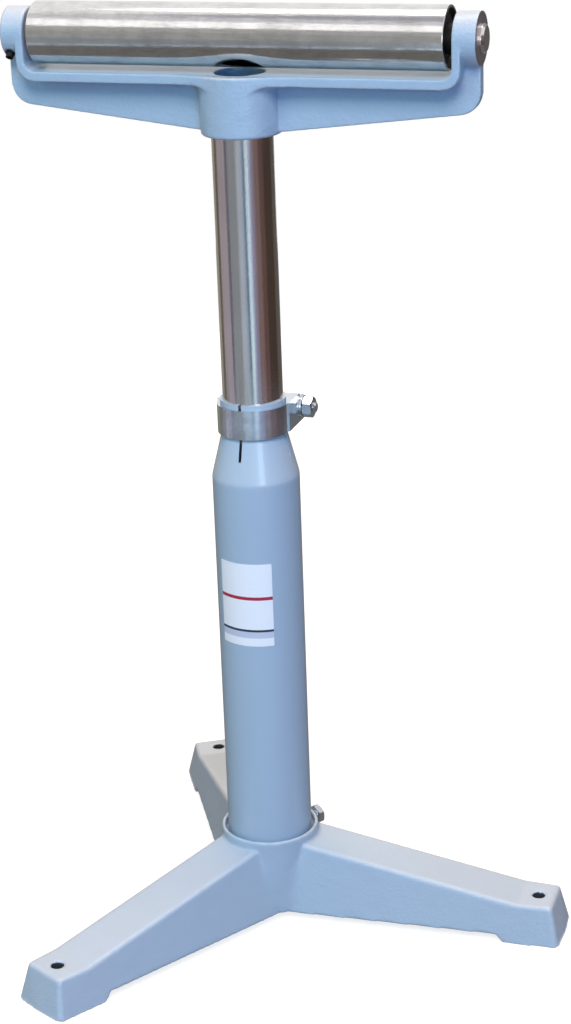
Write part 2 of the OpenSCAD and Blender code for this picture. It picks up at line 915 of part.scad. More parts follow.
module at_balls() {
    for (i = [0:ball_count - 1])
        rotate([0, 0, i * 360 / ball_count])
            translate([pitch_r, 0, 0])
                children();
}

module bearing_balls(side) {
    color(steel) at_bearing(side) at_balls() sphere(r = ball_r);
}

module bearing_cage(side) {
    band = ball_r * cage_wall_share;
    color("tan")
        at_bearing(side)
            difference() {
                rotate_extrude()
                    translate([pitch_r - band, -cage_half_w]) square([2 * band, 2 * cage_half_w]);
                // Pockets for the balls, drilled towards the axis
                at_balls()
                    rotate([0, 90, 0])
                        cylinder(r = race_r, h = 2 * band + 2 * overrun, center = true);
            }
}

module bearing_seals(side) {
    inner_r = axle_r + ring_t + run_fit;
    outer_r = bearing_r - ring_t - run_fit;
    inner_face = cage_half_w + seal_gap;
    color(black_rubber)
        at_bearing(side)
            for (z = [-inner_face - seal_t, inner_face])
                translate([0, 0, z])
                    difference() {
                        cylinder(r = outer_r, h = seal_t);
                        translate([0, 0, -overrun]) cylinder(r = inner_r, h = seal_t + 2 * overrun);
                    }
}

base_casting();
hub_set_screw();
column_tube();
column_label();
clamp_collar();
clamp_bolt();
clamp_washers();
clamp_nut();
mast_tube();
mast_guide_ring();
mast_guide_clips();
fork_casting();
mast_grub_screw();
axle_grub_screw();
axle();
axle_spacer(-1);  // axle_spacer_left
axle_spacer(1);  // axle_spacer_right
axle_clip(-1);  // axle_clip_left
axle_clip(1);  // axle_clip_right
roller_tube();
bearing_outer_ring(-1);  // bearing_outer_ring_left
bearing_outer_ring(1);  // bearing_outer_ring_right
bearing_inner_ring(-1);  // bearing_inner_ring_left
bearing_inner_ring(1);  // bearing_inner_ring_right
bearing_cage(-1);  // bearing_cage_left
bearing_cage(1);  // bearing_cage_right
bearing_balls(-1);  // bearing_balls_left
bearing_balls(1);  // bearing_balls_right
bearing_seals(-1);  // bearing_seals_left
bearing_seals(1);  // bearing_seals_right
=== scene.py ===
# %% [markdown]
# # A roller stand for the workshop
# The stand is a cast three-legged base, a painted steel column, a bright mast that slides in the
# column's slotted neck, and a cast fork with a steel roller on ball bearings. The CAD model is
# loaded as a fixed frame: it says where everything is and what moves. This script gives each
# piece the rounded edges, threads and finish of the real one.

# %% Load the frame
import json
import math

import bmesh
import bpy
from mathutils import Matrix, Vector
from mathutils.bvhtree import BVHTree

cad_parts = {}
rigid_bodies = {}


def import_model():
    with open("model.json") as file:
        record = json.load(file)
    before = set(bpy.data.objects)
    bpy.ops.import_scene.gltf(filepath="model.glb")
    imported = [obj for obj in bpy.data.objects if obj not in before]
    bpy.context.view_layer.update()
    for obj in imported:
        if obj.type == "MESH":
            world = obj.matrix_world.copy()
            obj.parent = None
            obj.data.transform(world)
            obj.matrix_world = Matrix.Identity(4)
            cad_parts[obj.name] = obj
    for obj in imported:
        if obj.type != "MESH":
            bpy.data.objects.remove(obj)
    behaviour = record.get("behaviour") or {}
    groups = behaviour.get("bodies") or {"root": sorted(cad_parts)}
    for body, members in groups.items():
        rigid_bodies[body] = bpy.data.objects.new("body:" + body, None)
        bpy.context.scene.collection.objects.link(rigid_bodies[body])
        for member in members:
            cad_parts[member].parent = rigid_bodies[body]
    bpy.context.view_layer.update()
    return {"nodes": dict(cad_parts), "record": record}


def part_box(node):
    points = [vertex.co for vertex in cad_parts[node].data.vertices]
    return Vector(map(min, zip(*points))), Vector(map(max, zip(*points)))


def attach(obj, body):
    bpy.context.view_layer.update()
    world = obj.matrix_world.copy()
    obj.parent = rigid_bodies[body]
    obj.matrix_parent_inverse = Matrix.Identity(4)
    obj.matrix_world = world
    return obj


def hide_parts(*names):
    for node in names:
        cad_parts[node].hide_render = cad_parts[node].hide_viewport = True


for leftover in list(bpy.data.objects):
    bpy.data.objects.remove(leftover)
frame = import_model()
for plain_material in list(bpy.data.materials):
    bpy.data.materials.remove(plain_material)

# %% [markdown]
# ## The camera
# The camera stands at the right of the stand, a little above the roller, and looks down at it.
# Its place is written in metres and its turn as three angles, and its focal length and optical
# centre in pixels of a 571 by 1024 frame, because these are what a photograph fixes.

# %% Camera
FRAME_W, FRAME_H = 571, 1024
FOCAL_PX = 2320.05
CENTRE_PX = (250.39, 509.62)
SENSOR_MM = 36
EYE = Vector((0.6428, -1.7856, 1.0889))
CAMERA_TURN, CAMERA_DOWN, CAMERA_ROLL = (math.radians(d) for d in (19.985, 20.403, 2.39))


def camera_axes():
    """The camera's right, up and backward directions."""
    level = math.cos(CAMERA_DOWN)
    forward = Vector((
        -math.sin(CAMERA_TURN) * level, math.cos(CAMERA_TURN) * level, -math.sin(CAMERA_DOWN)))
    level_right = Vector((math.cos(CAMERA_TURN), math.sin(CAMERA_TURN), 0))
    level_up = level_right.cross(forward)
    right = math.cos(CAMERA_ROLL) * level_right - math.sin(CAMERA_ROLL) * level_up
    up = math.sin(CAMERA_ROLL) * level_right + math.cos(CAMERA_ROLL) * level_up
    return right, up, -forward


def make_camera():
    lens = bpy.data.cameras.new("camera")
    lens.sensor_fit = "VERTICAL"
    lens.sensor_height = SENSOR_MM
    lens.lens = FOCAL_PX * SENSOR_MM / FRAME_H
    lens.shift_x = (FRAME_W / 2 - CENTRE_PX[0]) / FRAME_H
    lens.shift_y = (CENTRE_PX[1] - FRAME_H / 2) / FRAME_H
    camera = bpy.data.objects.new("camera", lens)
    bpy.context.scene.collection.objects.link(camera)
    camera.matrix_world = Matrix.Translation(EYE) @ Matrix(camera_axes()).transposed().to_4x4()
    bpy.context.scene.camera = camera
    return camera


camera = make_camera()
print("focal length", round(camera.data.lens, 1), "mm, shift",
      round(camera.data.shift_x, 4), round(camera.data.shift_y, 4))

# %% [markdown]
# ## Nodes for the materials
# A material is a small tree of nodes. A few helpers keep the trees short to write: one adds a
# node and fills or links its sockets, and one starts a node group with named inputs and outputs.
# A group is built once and placed in each material that needs the same effect.


# %% Node helpers
def fill_sockets(tree, made, sockets):
    for key, value in (sockets or {}).items():
        if isinstance(value, bpy.types.NodeSocket):
            tree.links.new(value, made.inputs[key])
        else:
            made.inputs[key].default_value = value
    return made


def add(tree, kind, sockets=None, **settings):
    """A shader node with its settings, and its inputs given as values or as other sockets."""
    made = tree.nodes.new("ShaderNode" + kind)
    for name, value in settings.items():
        setattr(made, name, value)
    return fill_sockets(tree, made, sockets)


def use_group(tree, group, sockets=None):
    made = tree.nodes.new("ShaderNodeGroup")
    made.node_tree = group
    return fill_sockets(tree, made, sockets).outputs


def start_group(name, inputs, outputs):
    """A node group whose inputs are (name, kind, default) and whose outputs are (name, kind)."""
    tree = bpy.data.node_groups.new(name, "ShaderNodeTree")
    for title, kind, default in inputs:
        socket = tree.interface.new_socket(name=title, in_out="INPUT", socket_type=kind)
        socket.default_value = default
    for title, kind in outputs:
        tree.interface.new_socket(name=title, in_out="OUTPUT", socket_type=kind)
    entry = tree.nodes.new("NodeGroupInput")
    leave = tree.nodes.new("NodeGroupOutput")
    return tree, entry.outputs, leave.inputs


# %% Values, noise and colours
def calculate(tree, operation, first, second=0.0, clamp=False):
    return add(tree, "Math", {0: first, 1: second}, operation=operation, use_clamp=clamp).outputs["Value"]


def remap(tree, value, low, high, to_low=0.0, to_high=1.0):
    """Turns the range low..high into to_low..to_high, and keeps what is outside at the ends."""
    return add(tree, "MapRange", {
        "Value": value, "From Min": low, "From Max": high, "To Min": to_low, "To Max": to_high,
    }).outputs["Result"]


def mix_colour(tree, share, first, second):
    """first where share is 0, second where it is 1."""
    made = add(tree, "Mix", data_type="RGBA")
    factor = made.inputs["Factor"]
    colours = [socket for socket in made.inputs if socket.type == "RGBA"]
    for socket, value in zip((factor, *colours), (share, first, second)):
        if isinstance(value, bpy.types.NodeSocket):
            tree.links.new(value, socket)
        else:
            socket.default_value = value
    return next(socket for socket in made.outputs if socket.type == "RGBA")


def noise_value(tree, vector, scale, detail=3.0, roughness=0.5):
    return add(tree, "TexNoise", {
        "Vector": vector, "Scale": scale, "Detail": detail, "Roughness": roughness,
    }).outputs["Fac"]


def object_place(tree):
    return add(tree, "TexCoord").outputs["Object"]


def height_on_object(tree):
    return add(tree, "SeparateXYZ", {"Vector": object_place(tree)}).outputs["Z"]


def from_screen(red, green, blue):
    """A colour as a screen shows it, 0 to 255, in Blender's linear values."""
    def linear(level):
        level /= 255
        return level / 12.92 if level <= 0.04045 else ((level + 0.055) / 1.055) ** 2.4
    return (linear(red), linear(green), linear(blue), 1.0)


print("half grey on a screen is", round(from_screen(128, 128, 128)[0], 3), "in linear values")

# %% [markdown]
# Four effects are shared. `cast skin` is the pebbled, slightly lumpy surface that sand leaves
# under the paint. `tool marks` are fine lines that run one way, as drawing or turning leaves
# them. `edge wear` finds the outer edges, where paint is thin and metal is rubbed. `smudges` are
# the broad soft patches that handling leaves in a gloss.

# %% Cast skin
# How high the casting's fine grain stands, next to its lumps
GRAIN_SHARE = 0.55


def group_cast_skin():
    tree, inputs, outputs = start_group(
        "cast skin",
        [("Grain", "NodeSocketFloat", 420.0), ("Lumps", "NodeSocketFloat", 45.0)],
        [("Height", "NodeSocketFloat")])
    place = object_place(tree)
    grain = noise_value(tree, place, inputs["Grain"], detail=4.0, roughness=0.6)
    lumps = noise_value(tree, place, inputs["Lumps"], detail=2.0)
    cells = add(tree, "TexVoronoi", {"Vector": place, "Scale": inputs["Grain"]}).outputs["Distance"]
    pits = remap(tree, cells, 0.0, 0.2, 1.0, 0.0)
    rare = remap(tree, lumps, 0.55, 0.7)
    rare_pits = calculate(tree, "MULTIPLY", pits, rare)
    fine = calculate(tree, "MULTIPLY", grain, GRAIN_SHARE)
    both = calculate(tree, "ADD", fine, lumps)
    tree.links.new(calculate(tree, "SUBTRACT", both, rare_pits), outputs["Height"])
    return tree


cast_skin = group_cast_skin()


# %% Tool marks
def group_tool_marks():
    tree, inputs, outputs = start_group(
        "tool marks",
        [("Stretch", "NodeSocketVector", (1.0, 1.0, 1.0)), ("Patches", "NodeSocketFloat", 12.0)],
        [("Height", "NodeSocketFloat"), ("Tone", "NodeSocketFloat")])
    place = object_place(tree)
    stretched = add(tree, "VectorMath", {0: place, 1: inputs["Stretch"]}, operation="MULTIPLY")
    lines = noise_value(tree, stretched.outputs["Vector"], 1.0, roughness=0.7)
    patches = noise_value(tree, place, inputs["Patches"], detail=2.0)
    strength = remap(tree, patches, 0.35, 0.65, 0.3, 1.0)
    centred = calculate(tree, "SUBTRACT", lines, 0.5)
    scaled = calculate(tree, "MULTIPLY", centred, strength)
    tree.links.new(calculate(tree, "ADD", scaled, 0.5), outputs["Height"])
    tree.links.new(calculate(tree, "ADD", scaled, patches), outputs["Tone"])
    return tree


tool_marks = group_tool_marks()


# %% Edge wear and smudges
def group_edge_wear():
    tree, inputs, outputs = start_group(
        "edge wear",
        [("Start", "NodeSocketFloat", 0.52), ("Full", "NodeSocketFloat", 0.6),
         ("Breakup", "NodeSocketFloat", 160.0)],
        [("Mask", "NodeSocketFloat")])
    bend = add(tree, "NewGeometry").outputs["Pointiness"]
    edge = remap(tree, bend, inputs["Start"], inputs["Full"])
    patches = noise_value(tree, object_place(tree), inputs["Breakup"], detail=5.0, roughness=0.65)
    broken = remap(tree, patches, 0.4, 0.62, 0.15, 1.0)
    tree.links.new(calculate(tree, "MULTIPLY", edge, broken, clamp=True), outputs["Mask"])
    return tree


def group_smudges():
    tree, inputs, outputs = start_group(
        "smudges", [("Size", "NodeSocketFloat", 9.0)], [("Mask", "NodeSocketFloat")])
    soft = noise_value(tree, object_place(tree), inputs["Size"], detail=4.0, roughness=0.6)
    tree.links.new(remap(tree, soft, 0.3, 0.7), outputs["Mask"])
    return tree


edge_wear = group_edge_wear()
smudges = group_smudges()
print("shared effects:", [group.name for group in bpy.data.node_groups])

# %% [markdown]
# ## Paint
# Castings and column wear the same light blue-grey enamel. On the castings it lies over the
# pebbled skin, which is coarser on the fork, and is a little thinner on the edges. On the column,
# a smooth tube, it only shows the faint orange peel of spraying. The cone is painted paler, as a
# painted highlight for the light that it catches.

# %% Paint colours
ENAMEL = from_screen(165, 188, 207)
# Paler enamel: worn thin on the castings' edges, and a painted highlight on the column's cone
ENAMEL_WORN_AND_LIT = from_screen(198, 211, 220)
ENAMEL_DUSTY = from_screen(158, 174, 188)
CAST_IRON = from_screen(186, 178, 184)
# Painted shade for the insides of the feet's bolt holes and of the neck's front slot
PAINTED_HOLE_SHADE = from_screen(58, 60, 64)
ENAMEL_IOR = 1.45


def start_material(name, **constants):
    material = bpy.data.materials.new(name)
    material.use_nodes = True
    shader = material.node_tree.nodes["Principled BSDF"]
    for title, value in constants.items():
        shader.inputs[title.replace("_", " ")].default_value = value
    return material, material.node_tree, shader


def add_bump(tree, shader, height, strength, distance):
    bump = add(tree, "Bump", {"Height": height, "Strength": strength, "Distance": distance})
    tree.links.new(bump.outputs["Normal"], shader.inputs["Normal"])


print("the enamel's linear colour:", [round(level, 2) for level in ENAMEL[:3]])

# %% [markdown]
# Three masks, worked out from places on the object, show what isn't plain paint: the bosses' ends,
# machined to bare iron, and the bolt holes and the neck's front slot, which get painted shade.

# %% Where there is no paint
axle_low, axle_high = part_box("axle")
axle_height = (axle_low.z + axle_high.z) / 2
boss_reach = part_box("fork_casting")[1].x
BOSS_R = 0.0215
MACHINED_DEPTH = 0.0004
BASE_TURN = math.radians(1.24)
LEGS = 3
FOOT_HOLE_OUT = 0.25
FOOT_HOLE_R = 0.0057
CONE_FOOT = 0.417
# The front slot's cut faces: how far forward they lie, and how little they face out or up
SLOT_FORWARD = 0.015
SLOT_FACES_OUT = 0.3
SLOT_FACES_UP = 0.5


def machined_bosses(tree):
    """1 on the bosses' machined outer faces, 0 on the painted rest."""
    apart = add(tree, "SeparateXYZ", {"Vector": object_place(tree)}).outputs
    out = calculate(tree, "ABSOLUTE", apart["X"])
    rise = calculate(tree, "SUBTRACT", apart["Z"], axle_height)
    across = add(tree, "CombineXYZ", {"X": apart["Y"], "Y": rise}).outputs["Vector"]
    radius = add(tree, "VectorMath", {0: across}, operation="LENGTH").outputs["Value"]
    at_end = calculate(tree, "GREATER_THAN", out, boss_reach - MACHINED_DEPTH)
    on_boss = calculate(tree, "LESS_THAN", radius, BOSS_R)
    return calculate(tree, "MULTIPLY", at_end, on_boss)


def flat_place(tree):
    """The place on the object with its height left out."""
    flat = add(tree, "VectorMath", {0: object_place(tree), 1: (1.0, 1.0, 0.0)}, operation="MULTIPLY")
    return flat.outputs["Vector"]


def at_turn(turn, distance, height=0.0):
    """A place at a turn round the z axis, a distance out and a height up."""
    return Vector((distance * math.cos(turn), distance * math.sin(turn), height))


def drilled_feet(tree):
    """1 inside the feet's bolt holes, which are drilled through the paint and get painted shade."""
    flat = flat_place(tree)
    nearest = 1.0
    for leg in range(LEGS):
        turn = BASE_TURN + leg * 2 * math.pi / LEGS
        hole = at_turn(turn, FOOT_HOLE_OUT)
        apart = add(tree, "VectorMath", {0: flat, 1: hole}, operation="DISTANCE")
        nearest = calculate(tree, "MINIMUM", apart.outputs["Value"], nearest)
    return calculate(tree, "LESS_THAN", nearest, FOOT_HOLE_R)


def front_slot(tree):
    """1 on the cut faces of the neck's front slot, which are turned across the tube's radius and get
    painted shade.
    """
    apart = add(tree, "SeparateXYZ", {"Vector": object_place(tree)}).outputs
    normal = add(tree, "TexCoord").outputs["Normal"]
    outward = add(tree, "VectorMath", {0: flat_place(tree)}, operation="NORMALIZE").outputs["Vector"]
    facing = add(tree, "VectorMath", {0: normal, 1: outward}, operation="DOT_PRODUCT").outputs["Value"]
    rise = add(tree, "SeparateXYZ", {"Vector": normal}).outputs["Z"]
    across = calculate(tree, "LESS_THAN", calculate(tree, "ABSOLUTE", facing), SLOT_FACES_OUT)
    level = calculate(tree, "LESS_THAN", calculate(tree, "ABSOLUTE", rise), SLOT_FACES_UP)
    cut = calculate(tree, "MULTIPLY", across, level)
    high = calculate(tree, "GREATER_THAN", apart["Z"], CONE_FOOT)
    front = calculate(tree, "LESS_THAN", apart["Y"], -SLOT_FORWARD)
    return calculate(tree, "MULTIPLY", cut, calculate(tree, "MULTIPLY", high, front))


print("the bosses are bare beyond", round(boss_reach - MACHINED_DEPTH, 4), "m")

# %% Enamel on the castings
# How much of the dusty and of the thin colour shows at most
CASTING_DUST = 0.3
EDGE_THIN = 0.5


def paint_casting(name, bare=None, painted_shade=None, grain=520.0, depth=0.0011):
    """Enamel over cast iron. bare masks where machining took the paint off, and the second mask where
    painted shade darkens the holes.
    """
    material, tree, shader = start_material(name, IOR=ENAMEL_IOR, Coat_Roughness=0.14, Coat_IOR=1.45)
    skin = use_group(tree, cast_skin, {"Grain": grain, "Lumps": 55.0})
    worn = use_group(tree, edge_wear, {"Start": 0.51, "Full": 0.58, "Breakup": 120.0})
    dirt = use_group(tree, smudges, {"Size": 7.0})
    dusty = calculate(tree, "MULTIPLY", dirt["Mask"], CASTING_DUST)
    paler = calculate(tree, "MULTIPLY", worn["Mask"], EDGE_THIN)
    colour = mix_colour(tree, dusty, ENAMEL, ENAMEL_DUSTY)
    colour = mix_colour(tree, paler, colour, ENAMEL_WORN_AND_LIT)
    if bare is not None:
        mask = bare(tree)
        colour = mix_colour(tree, mask, colour, CAST_IRON)
        tree.links.new(mask, shader.inputs["Metallic"])
    if painted_shade is not None:
        # Painted shade inside the holes
        colour = mix_colour(tree, painted_shade(tree), colour, PAINTED_HOLE_SHADE)
    fill_sockets(tree, shader, {
        "Base Color": colour,
        "Roughness": remap(tree, dirt["Mask"], 0.0, 1.0, 0.3, 0.42),
        "Coat Weight": remap(tree, dirt["Mask"], 0.0, 1.0, 0.45, 0.2),
    })
    add_bump(tree, shader, skin["Height"], strength=0.6, distance=depth)
    return material


cast_paint = paint_casting("cast_paint", painted_shade=drilled_feet)
fork_paint = paint_casting("cast_paint_machined", machined_bosses, grain=360.0, depth=0.0017)

# %% Enamel on the column
COLUMN_DUST = 0.2
# How much paler the cone is painted: a painted highlight for the light that it catches
CONE_PAINTED_LIGHT = 0.38
# The colour changes within this height below and above the cone's foot
CONE_SOFT = 0.004


def paint_column():
    material, tree, shader = start_material(
        "column_paint", IOR=ENAMEL_IOR, Coat_Roughness=0.12, Coat_IOR=1.45)
    peel = use_group(tree, cast_skin, {"Grain": 700.0, "Lumps": 120.0})
    dirt = use_group(tree, smudges, {"Size": 5.0})
    dusty = calculate(tree, "MULTIPLY", dirt["Mask"], COLUMN_DUST)
    # The cone is painted paler as a painted highlight
    paler = remap(tree, height_on_object(tree), CONE_FOOT - CONE_SOFT, CONE_FOOT + CONE_SOFT, 0.0, CONE_PAINTED_LIGHT)
    colour = mix_colour(tree, dusty, ENAMEL, ENAMEL_DUSTY)
    colour = mix_colour(tree, paler, colour, ENAMEL_WORN_AND_LIT)
    # Painted shade on the cut faces of the front slot
    colour = mix_colour(tree, front_slot(tree), colour, PAINTED_HOLE_SHADE)
    fill_sockets(tree, shader, {
        "Base Color": colour,
        "Roughness": remap(tree, dirt["Mask"], 0.0, 1.0, 0.3, 0.4),
        "Coat Weight": remap(tree, dirt["Mask"], 0.0, 1.0, 0.5, 0.3),
    })
    add_bump(tree, shader, peel["Height"], strength=0.2, distance=0.0004)
    return material


column_paint = paint_column()
print("paints:", [paint.name for paint in (cast_paint, fork_paint, column_paint)])

# %% [markdown]
# ## Metals
# Every metal here is the same tree with other values: two tints, a range of roughness, and marks.
# Stretching the pattern's space, not the object, turns round noise into lines: the drawn mast has
# fine lines along it and the ground roller short dashes along it. On these two a fine even grain
# also breaks up what the metal mirrors. The other metals are cloudy, as zinc plating is.

# %% Metal materials
GRAIN_SCALE = 700.0
CLOUD = 0.5


def make_metal(name, tint, darker, roughness, stretch, marks=0.2, depth=0.00004, patches=12.0, grain=0.0):
    material, tree, shader = start_material(name, Metallic=1.0)
    lines = use_group(tree, tool_marks, {"Stretch": stretch, "Patches": patches})
    hands = use_group(tree, smudges, {"Size": 14.0})
    tone = remap(tree, lines["Tone"], 0.35, 0.75, 0.0, CLOUD)
    smooth, rough = roughness
    even = remap(tree, hands["Mask"], 0.0, 1.0, smooth, rough)
    streaky = remap(tree, lines["Tone"], 0.45, 0.85, 0.0, rough - smooth)
    fill_sockets(tree, shader, {
        "Base Color": mix_colour(tree, tone, tint, darker),
        "Roughness": calculate(tree, "ADD", even, streaky),
    })
    fine = noise_value(tree, object_place(tree), GRAIN_SCALE, detail=2.0)
    pebbled = calculate(tree, "MULTIPLY", fine, grain)
    add_bump(tree, shader, calculate(tree, "ADD", lines["Height"], pebbled), marks, depth)
    return material


ALONG_Z = (900.0, 900.0, 9.0)
DASHES_X = (70.0, 520.0, 520.0)
CLOUDY = (190.0, 190.0, 190.0)
# Each metal: its two tints, its roughness from clean to handled, its stretch and its marks
METALS = {
    "drawn_steel": ((226, 222, 219), (190, 184, 180), (0.09, 0.17), ALONG_Z,
                    {"marks": 0.5, "depth": 0.00009, "grain": 1.3}),
    "ground_steel": ((226, 224, 222), (178, 176, 174), (0.08, 0.18), DASHES_X,
                     {"marks": 0.8, "depth": 0.00011, "patches": 60.0, "grain": 0.35}),
    "zinc_plate": ((224, 230, 238), (196, 202, 212), (0.14, 0.24), CLOUDY,
                   {"marks": 0.06, "patches": 40.0}),
    # Dark steel for the roller's bore and the spacers: painted shade inside the roller's ends
    "oiled_steel": ((70, 66, 64), (38, 36, 35), (0.4, 0.55), CLOUDY, {}),
    "spring_steel": ((92, 90, 88), (60, 58, 56), (0.35, 0.5), CLOUDY, {}),
    "black_screw": ((74, 74, 78), (40, 40, 44), (0.3, 0.45), CLOUDY, {}),
    "bearing_steel": ((214, 215, 217), (190, 190, 192), (0.08, 0.14), CLOUDY, {"marks": 0.05}),
    "cage_steel": ((170, 164, 152), (130, 124, 114), (0.3, 0.42), CLOUDY, {}),
}
metals = {}
for metal_name, (tint, darker, roughness, stretch, extra) in METALS.items():
    metals[metal_name] = make_metal(
        metal_name, from_screen(*tint), from_screen(*darker), roughness, stretch, **extra)
print("metals:", sorted(metals))

# %% [markdown]
# ## The label, rubber and nylon
# The label is coated paper: white, with three plain bands of colour, each a range of heights, and
# no words. The bearings' seals are moulded rubber and the guide ring is turned nylon: both dark,
# with a fine grain.

# %% Label paper
label_low, label_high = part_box("column_label")
# Each band: the shares of the label's height between which it runs, and its ink
LABEL_BANDS = {
    "red": (0.565, 0.605, (178, 40, 68)),
    "navy": (0.176, 0.204, (40, 54, 82)),
    "lilac": (0.1, 0.176, (196, 204, 222)),
}


def make_label_paper():
    material, tree, shader = start_material("label_paper", Coat_Weight=0.2, Coat_Roughness=0.15)
    share = remap(tree, height_on_object(tree), label_low.z, label_high.z)
    fibres = noise_value(tree, object_place(tree), scale=900.0, detail=4.0)
    colour = mix_colour(tree, fibres, from_screen(232, 238, 244), from_screen(244, 248, 252))
    for start, end, ink in LABEL_BANDS.values():
        above = calculate(tree, "GREATER_THAN", share, start)
        below = calculate(tree, "LESS_THAN", share, end)
        colour = mix_colour(tree, calculate(tree, "MULTIPLY", above, below), colour, from_screen(*ink))
    fill_sockets(tree, shader, {
        "Base Color": colour,
        "Roughness": remap(tree, fibres, 0.3, 0.7, 0.38, 0.5),
    })
    add_bump(tree, shader, fibres, strength=0.1, distance=0.00003)
    return material


label_paper = make_label_paper()


# %% Dark plastics
def make_dark(name, colour, lighter, roughness, grain, strength):
    material, tree, shader = start_material(name)
    fine = noise_value(tree, object_place(tree), grain, detail=4.0, roughness=0.6)
    fill_sockets(tree, shader, {
        "Base Color": mix_colour(tree, fine, colour, lighter),
        "Roughness": remap(tree, fine, 0.3, 0.7, *roughness),
    })
    add_bump(tree, shader, fine, strength, distance=0.0001)
    return material


black_nylon = make_dark(
    "black_nylon", from_screen(30, 30, 33), from_screen(58, 58, 62), (0.4, 0.55), grain=600.0, strength=0.2)
seal_rubber = make_dark(
    "seal_rubber", from_screen(22, 22, 24), from_screen(48, 48, 50), (0.5, 0.65), grain=900.0, strength=0.3)
finishes = dict(metals, cast_paint=cast_paint, column_paint=column_paint, label_paper=label_paper,
                black_nylon=black_nylon, seal_rubber=seal_rubber)
print("finishes:", len(finishes))

# %% [markdown]
# Every CAD node starts with the finish that the record gives it. The pieces made below replace
# some of the nodes and take the same finish, unless another one is named for them.

# %% Finishes on the CAD nodes
slot_of = {row["node"]: row["material_slot"] for row in frame["record"]["subparts"]}
body_of = {node: body for body, nodes in frame["record"]["behaviour"]["bodies"].items() for node in nodes}
for node, slot_name in slot_of.items():
    node_materials = frame["nodes"][node].data.materials
    node_materials.clear()
    node_materials.append(finishes[slot_name])
print("finishes given to", len(slot_of), "nodes")

# %% [markdown]
# ## Tools for the new pieces
# Turned pieces are lathed: half of their cross-section is drawn as corners, each with its own
# rounding, and spun round the axis. The rounding matters more than it seems: no real edge is
# perfectly sharp, and the thin highlight along a rounded edge is what makes steel look solid.

# %% Rounded outlines
ARC_STEPS = 4
# A line of points this far from each rounding keeps the flat next to it flat in its shading
SUPPORT = 0.0003


def corner_arc(before, here, after, rounding):
    """Points of the arc that rounds a corner, with a supporting point on either side."""
    back = (before - here).normalized()
    ahead = (after - here).normalized()
    half = back.angle(ahead) / 2
    reach = rounding / math.tan(half)
    centre = here + (back + ahead).normalized() * rounding / math.sin(half)
    start = (here + back * reach - centre).normalized()
    end = (here + ahead * reach - centre).normalized()
    arc = [centre + rounding * start.slerp(end, step / ARC_STEPS) for step in range(ARC_STEPS + 1)]
    return [here + back * (reach + SUPPORT), *arc, here + ahead * (reach + SUPPORT)]


def outline_points(corners):
    """An outline's points, from corners given as (radius, place along the axis, rounding)."""
    places = [Vector((radius, 0, along)) for radius, along, _ in corners]
    points = []
    for index, (_, _, rounding) in enumerate(corners):
        if rounding == 0:
            points.append(places[index])
        else:
            following = places[(index + 1) % len(places)]
            points += corner_arc(places[index - 1], places[index], following, rounding)
    return points


# %% Lathe
FULL_TURN = 2 * math.pi
LATHE_STEPS = 128
MERGE = 1e-6


def sweep_line(bm, points, angle, steps, rise=0.0, closed=False, merged=False):
    """Draws a line through the points and sweeps it round the z axis, up by rise at each step."""
    line = [bm.verts.new(point) for point in points]
    edges = [bm.edges.new(pair) for pair in zip(line, line[1:])]
    if closed:
        edges.append(bm.edges.new((line[-1], line[0])))
    bmesh.ops.spin(bm, geom=line + edges, cent=(0, 0, 0), axis=(0, 0, 1), dvec=(0, 0, rise),
                   angle=angle, steps=steps, use_merge=merged)


def lathe(corners, place=Matrix(), closed=True):
    """A turned solid. A closed outline makes a ring, an open one starts and ends on the axis."""
    bm = bmesh.new()
    sweep_line(bm, outline_points(corners), FULL_TURN, LATHE_STEPS, closed=closed, merged=True)
    return settle(bm, place)


def settle(bm, place=Matrix()):
    bmesh.ops.remove_doubles(bm, verts=bm.verts, dist=MERGE)
    bmesh.ops.recalc_face_normals(bm, faces=bm.faces)
    bm.transform(place)
    return bm


def turned_ring(bore, radius, start, end, edge, place):
    """A plain ring or tube with broken edges."""
    corners = [(bore, start, edge), (radius, start, edge), (radius, end, edge), (bore, end, edge)]
    return lathe(corners, place)


# %% Cutting and joining
def cut_flat(bm, place, outward):
    """Cuts off what lies beyond a plane, and gives the edges round the cut."""
    cut = bmesh.ops.bisect_plane(
        bm, geom=bm.verts[:] + bm.edges[:] + bm.faces[:], dist=MERGE,
        plane_co=place, plane_no=outward, clear_outer=True)
    return [piece for piece in cut["geom_cut"] if isinstance(piece, bmesh.types.BMEdge)]


def join(*solids):
    """One bmesh from several."""
    whole = bmesh.new()
    for solid in solids:
        part_mesh = bpy.data.meshes.new("part")
        solid.to_mesh(part_mesh)
        solid.free()
        whole.from_mesh(part_mesh)
        bpy.data.meshes.remove(part_mesh)
    return whole


# %% [markdown]
# A finished piece names the body that it rides on, the CAD nodes that it stands for and its
# finish. Pieces stay where the frame puts them, with their objects at the origin.

# %% Putting a piece in place
SMOOTH_UP_TO = math.radians(32)


def new_object(name, bm):
    mesh = bpy.data.meshes.new(name)
    bm.to_mesh(mesh)
    bm.free()
    made = bpy.data.objects.new(name, mesh)
    bpy.context.scene.collection.objects.link(made)
    return made


def put_in_place(made, node, material=None):
    """Stands a finished piece in for a CAD node, on that node's body and with its finish."""
    made.data.materials.clear()
    made.data.materials.append(material or finishes[slot_of[node]])
    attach(made, body_of[node])
    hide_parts(node)
    print(made.name, "has", len(made.data.polygons), "faces and rides on", body_of[node])
    return made


def shade(made, up_to=SMOOTH_UP_TO):
    made.data.shade_smooth()
    made.data.set_sharp_from_angle(angle=up_to)
    return made


def dress(node, name, bm, material=None):
    """Makes a smooth piece of a bmesh and stands it in for a CAD node."""
    return put_in_place(shade(new_object(name, bm)), node, material)


# %% Measures of a CAD node
def points_of(node):
    return [vertex.co for vertex in frame["nodes"][node].data.vertices]


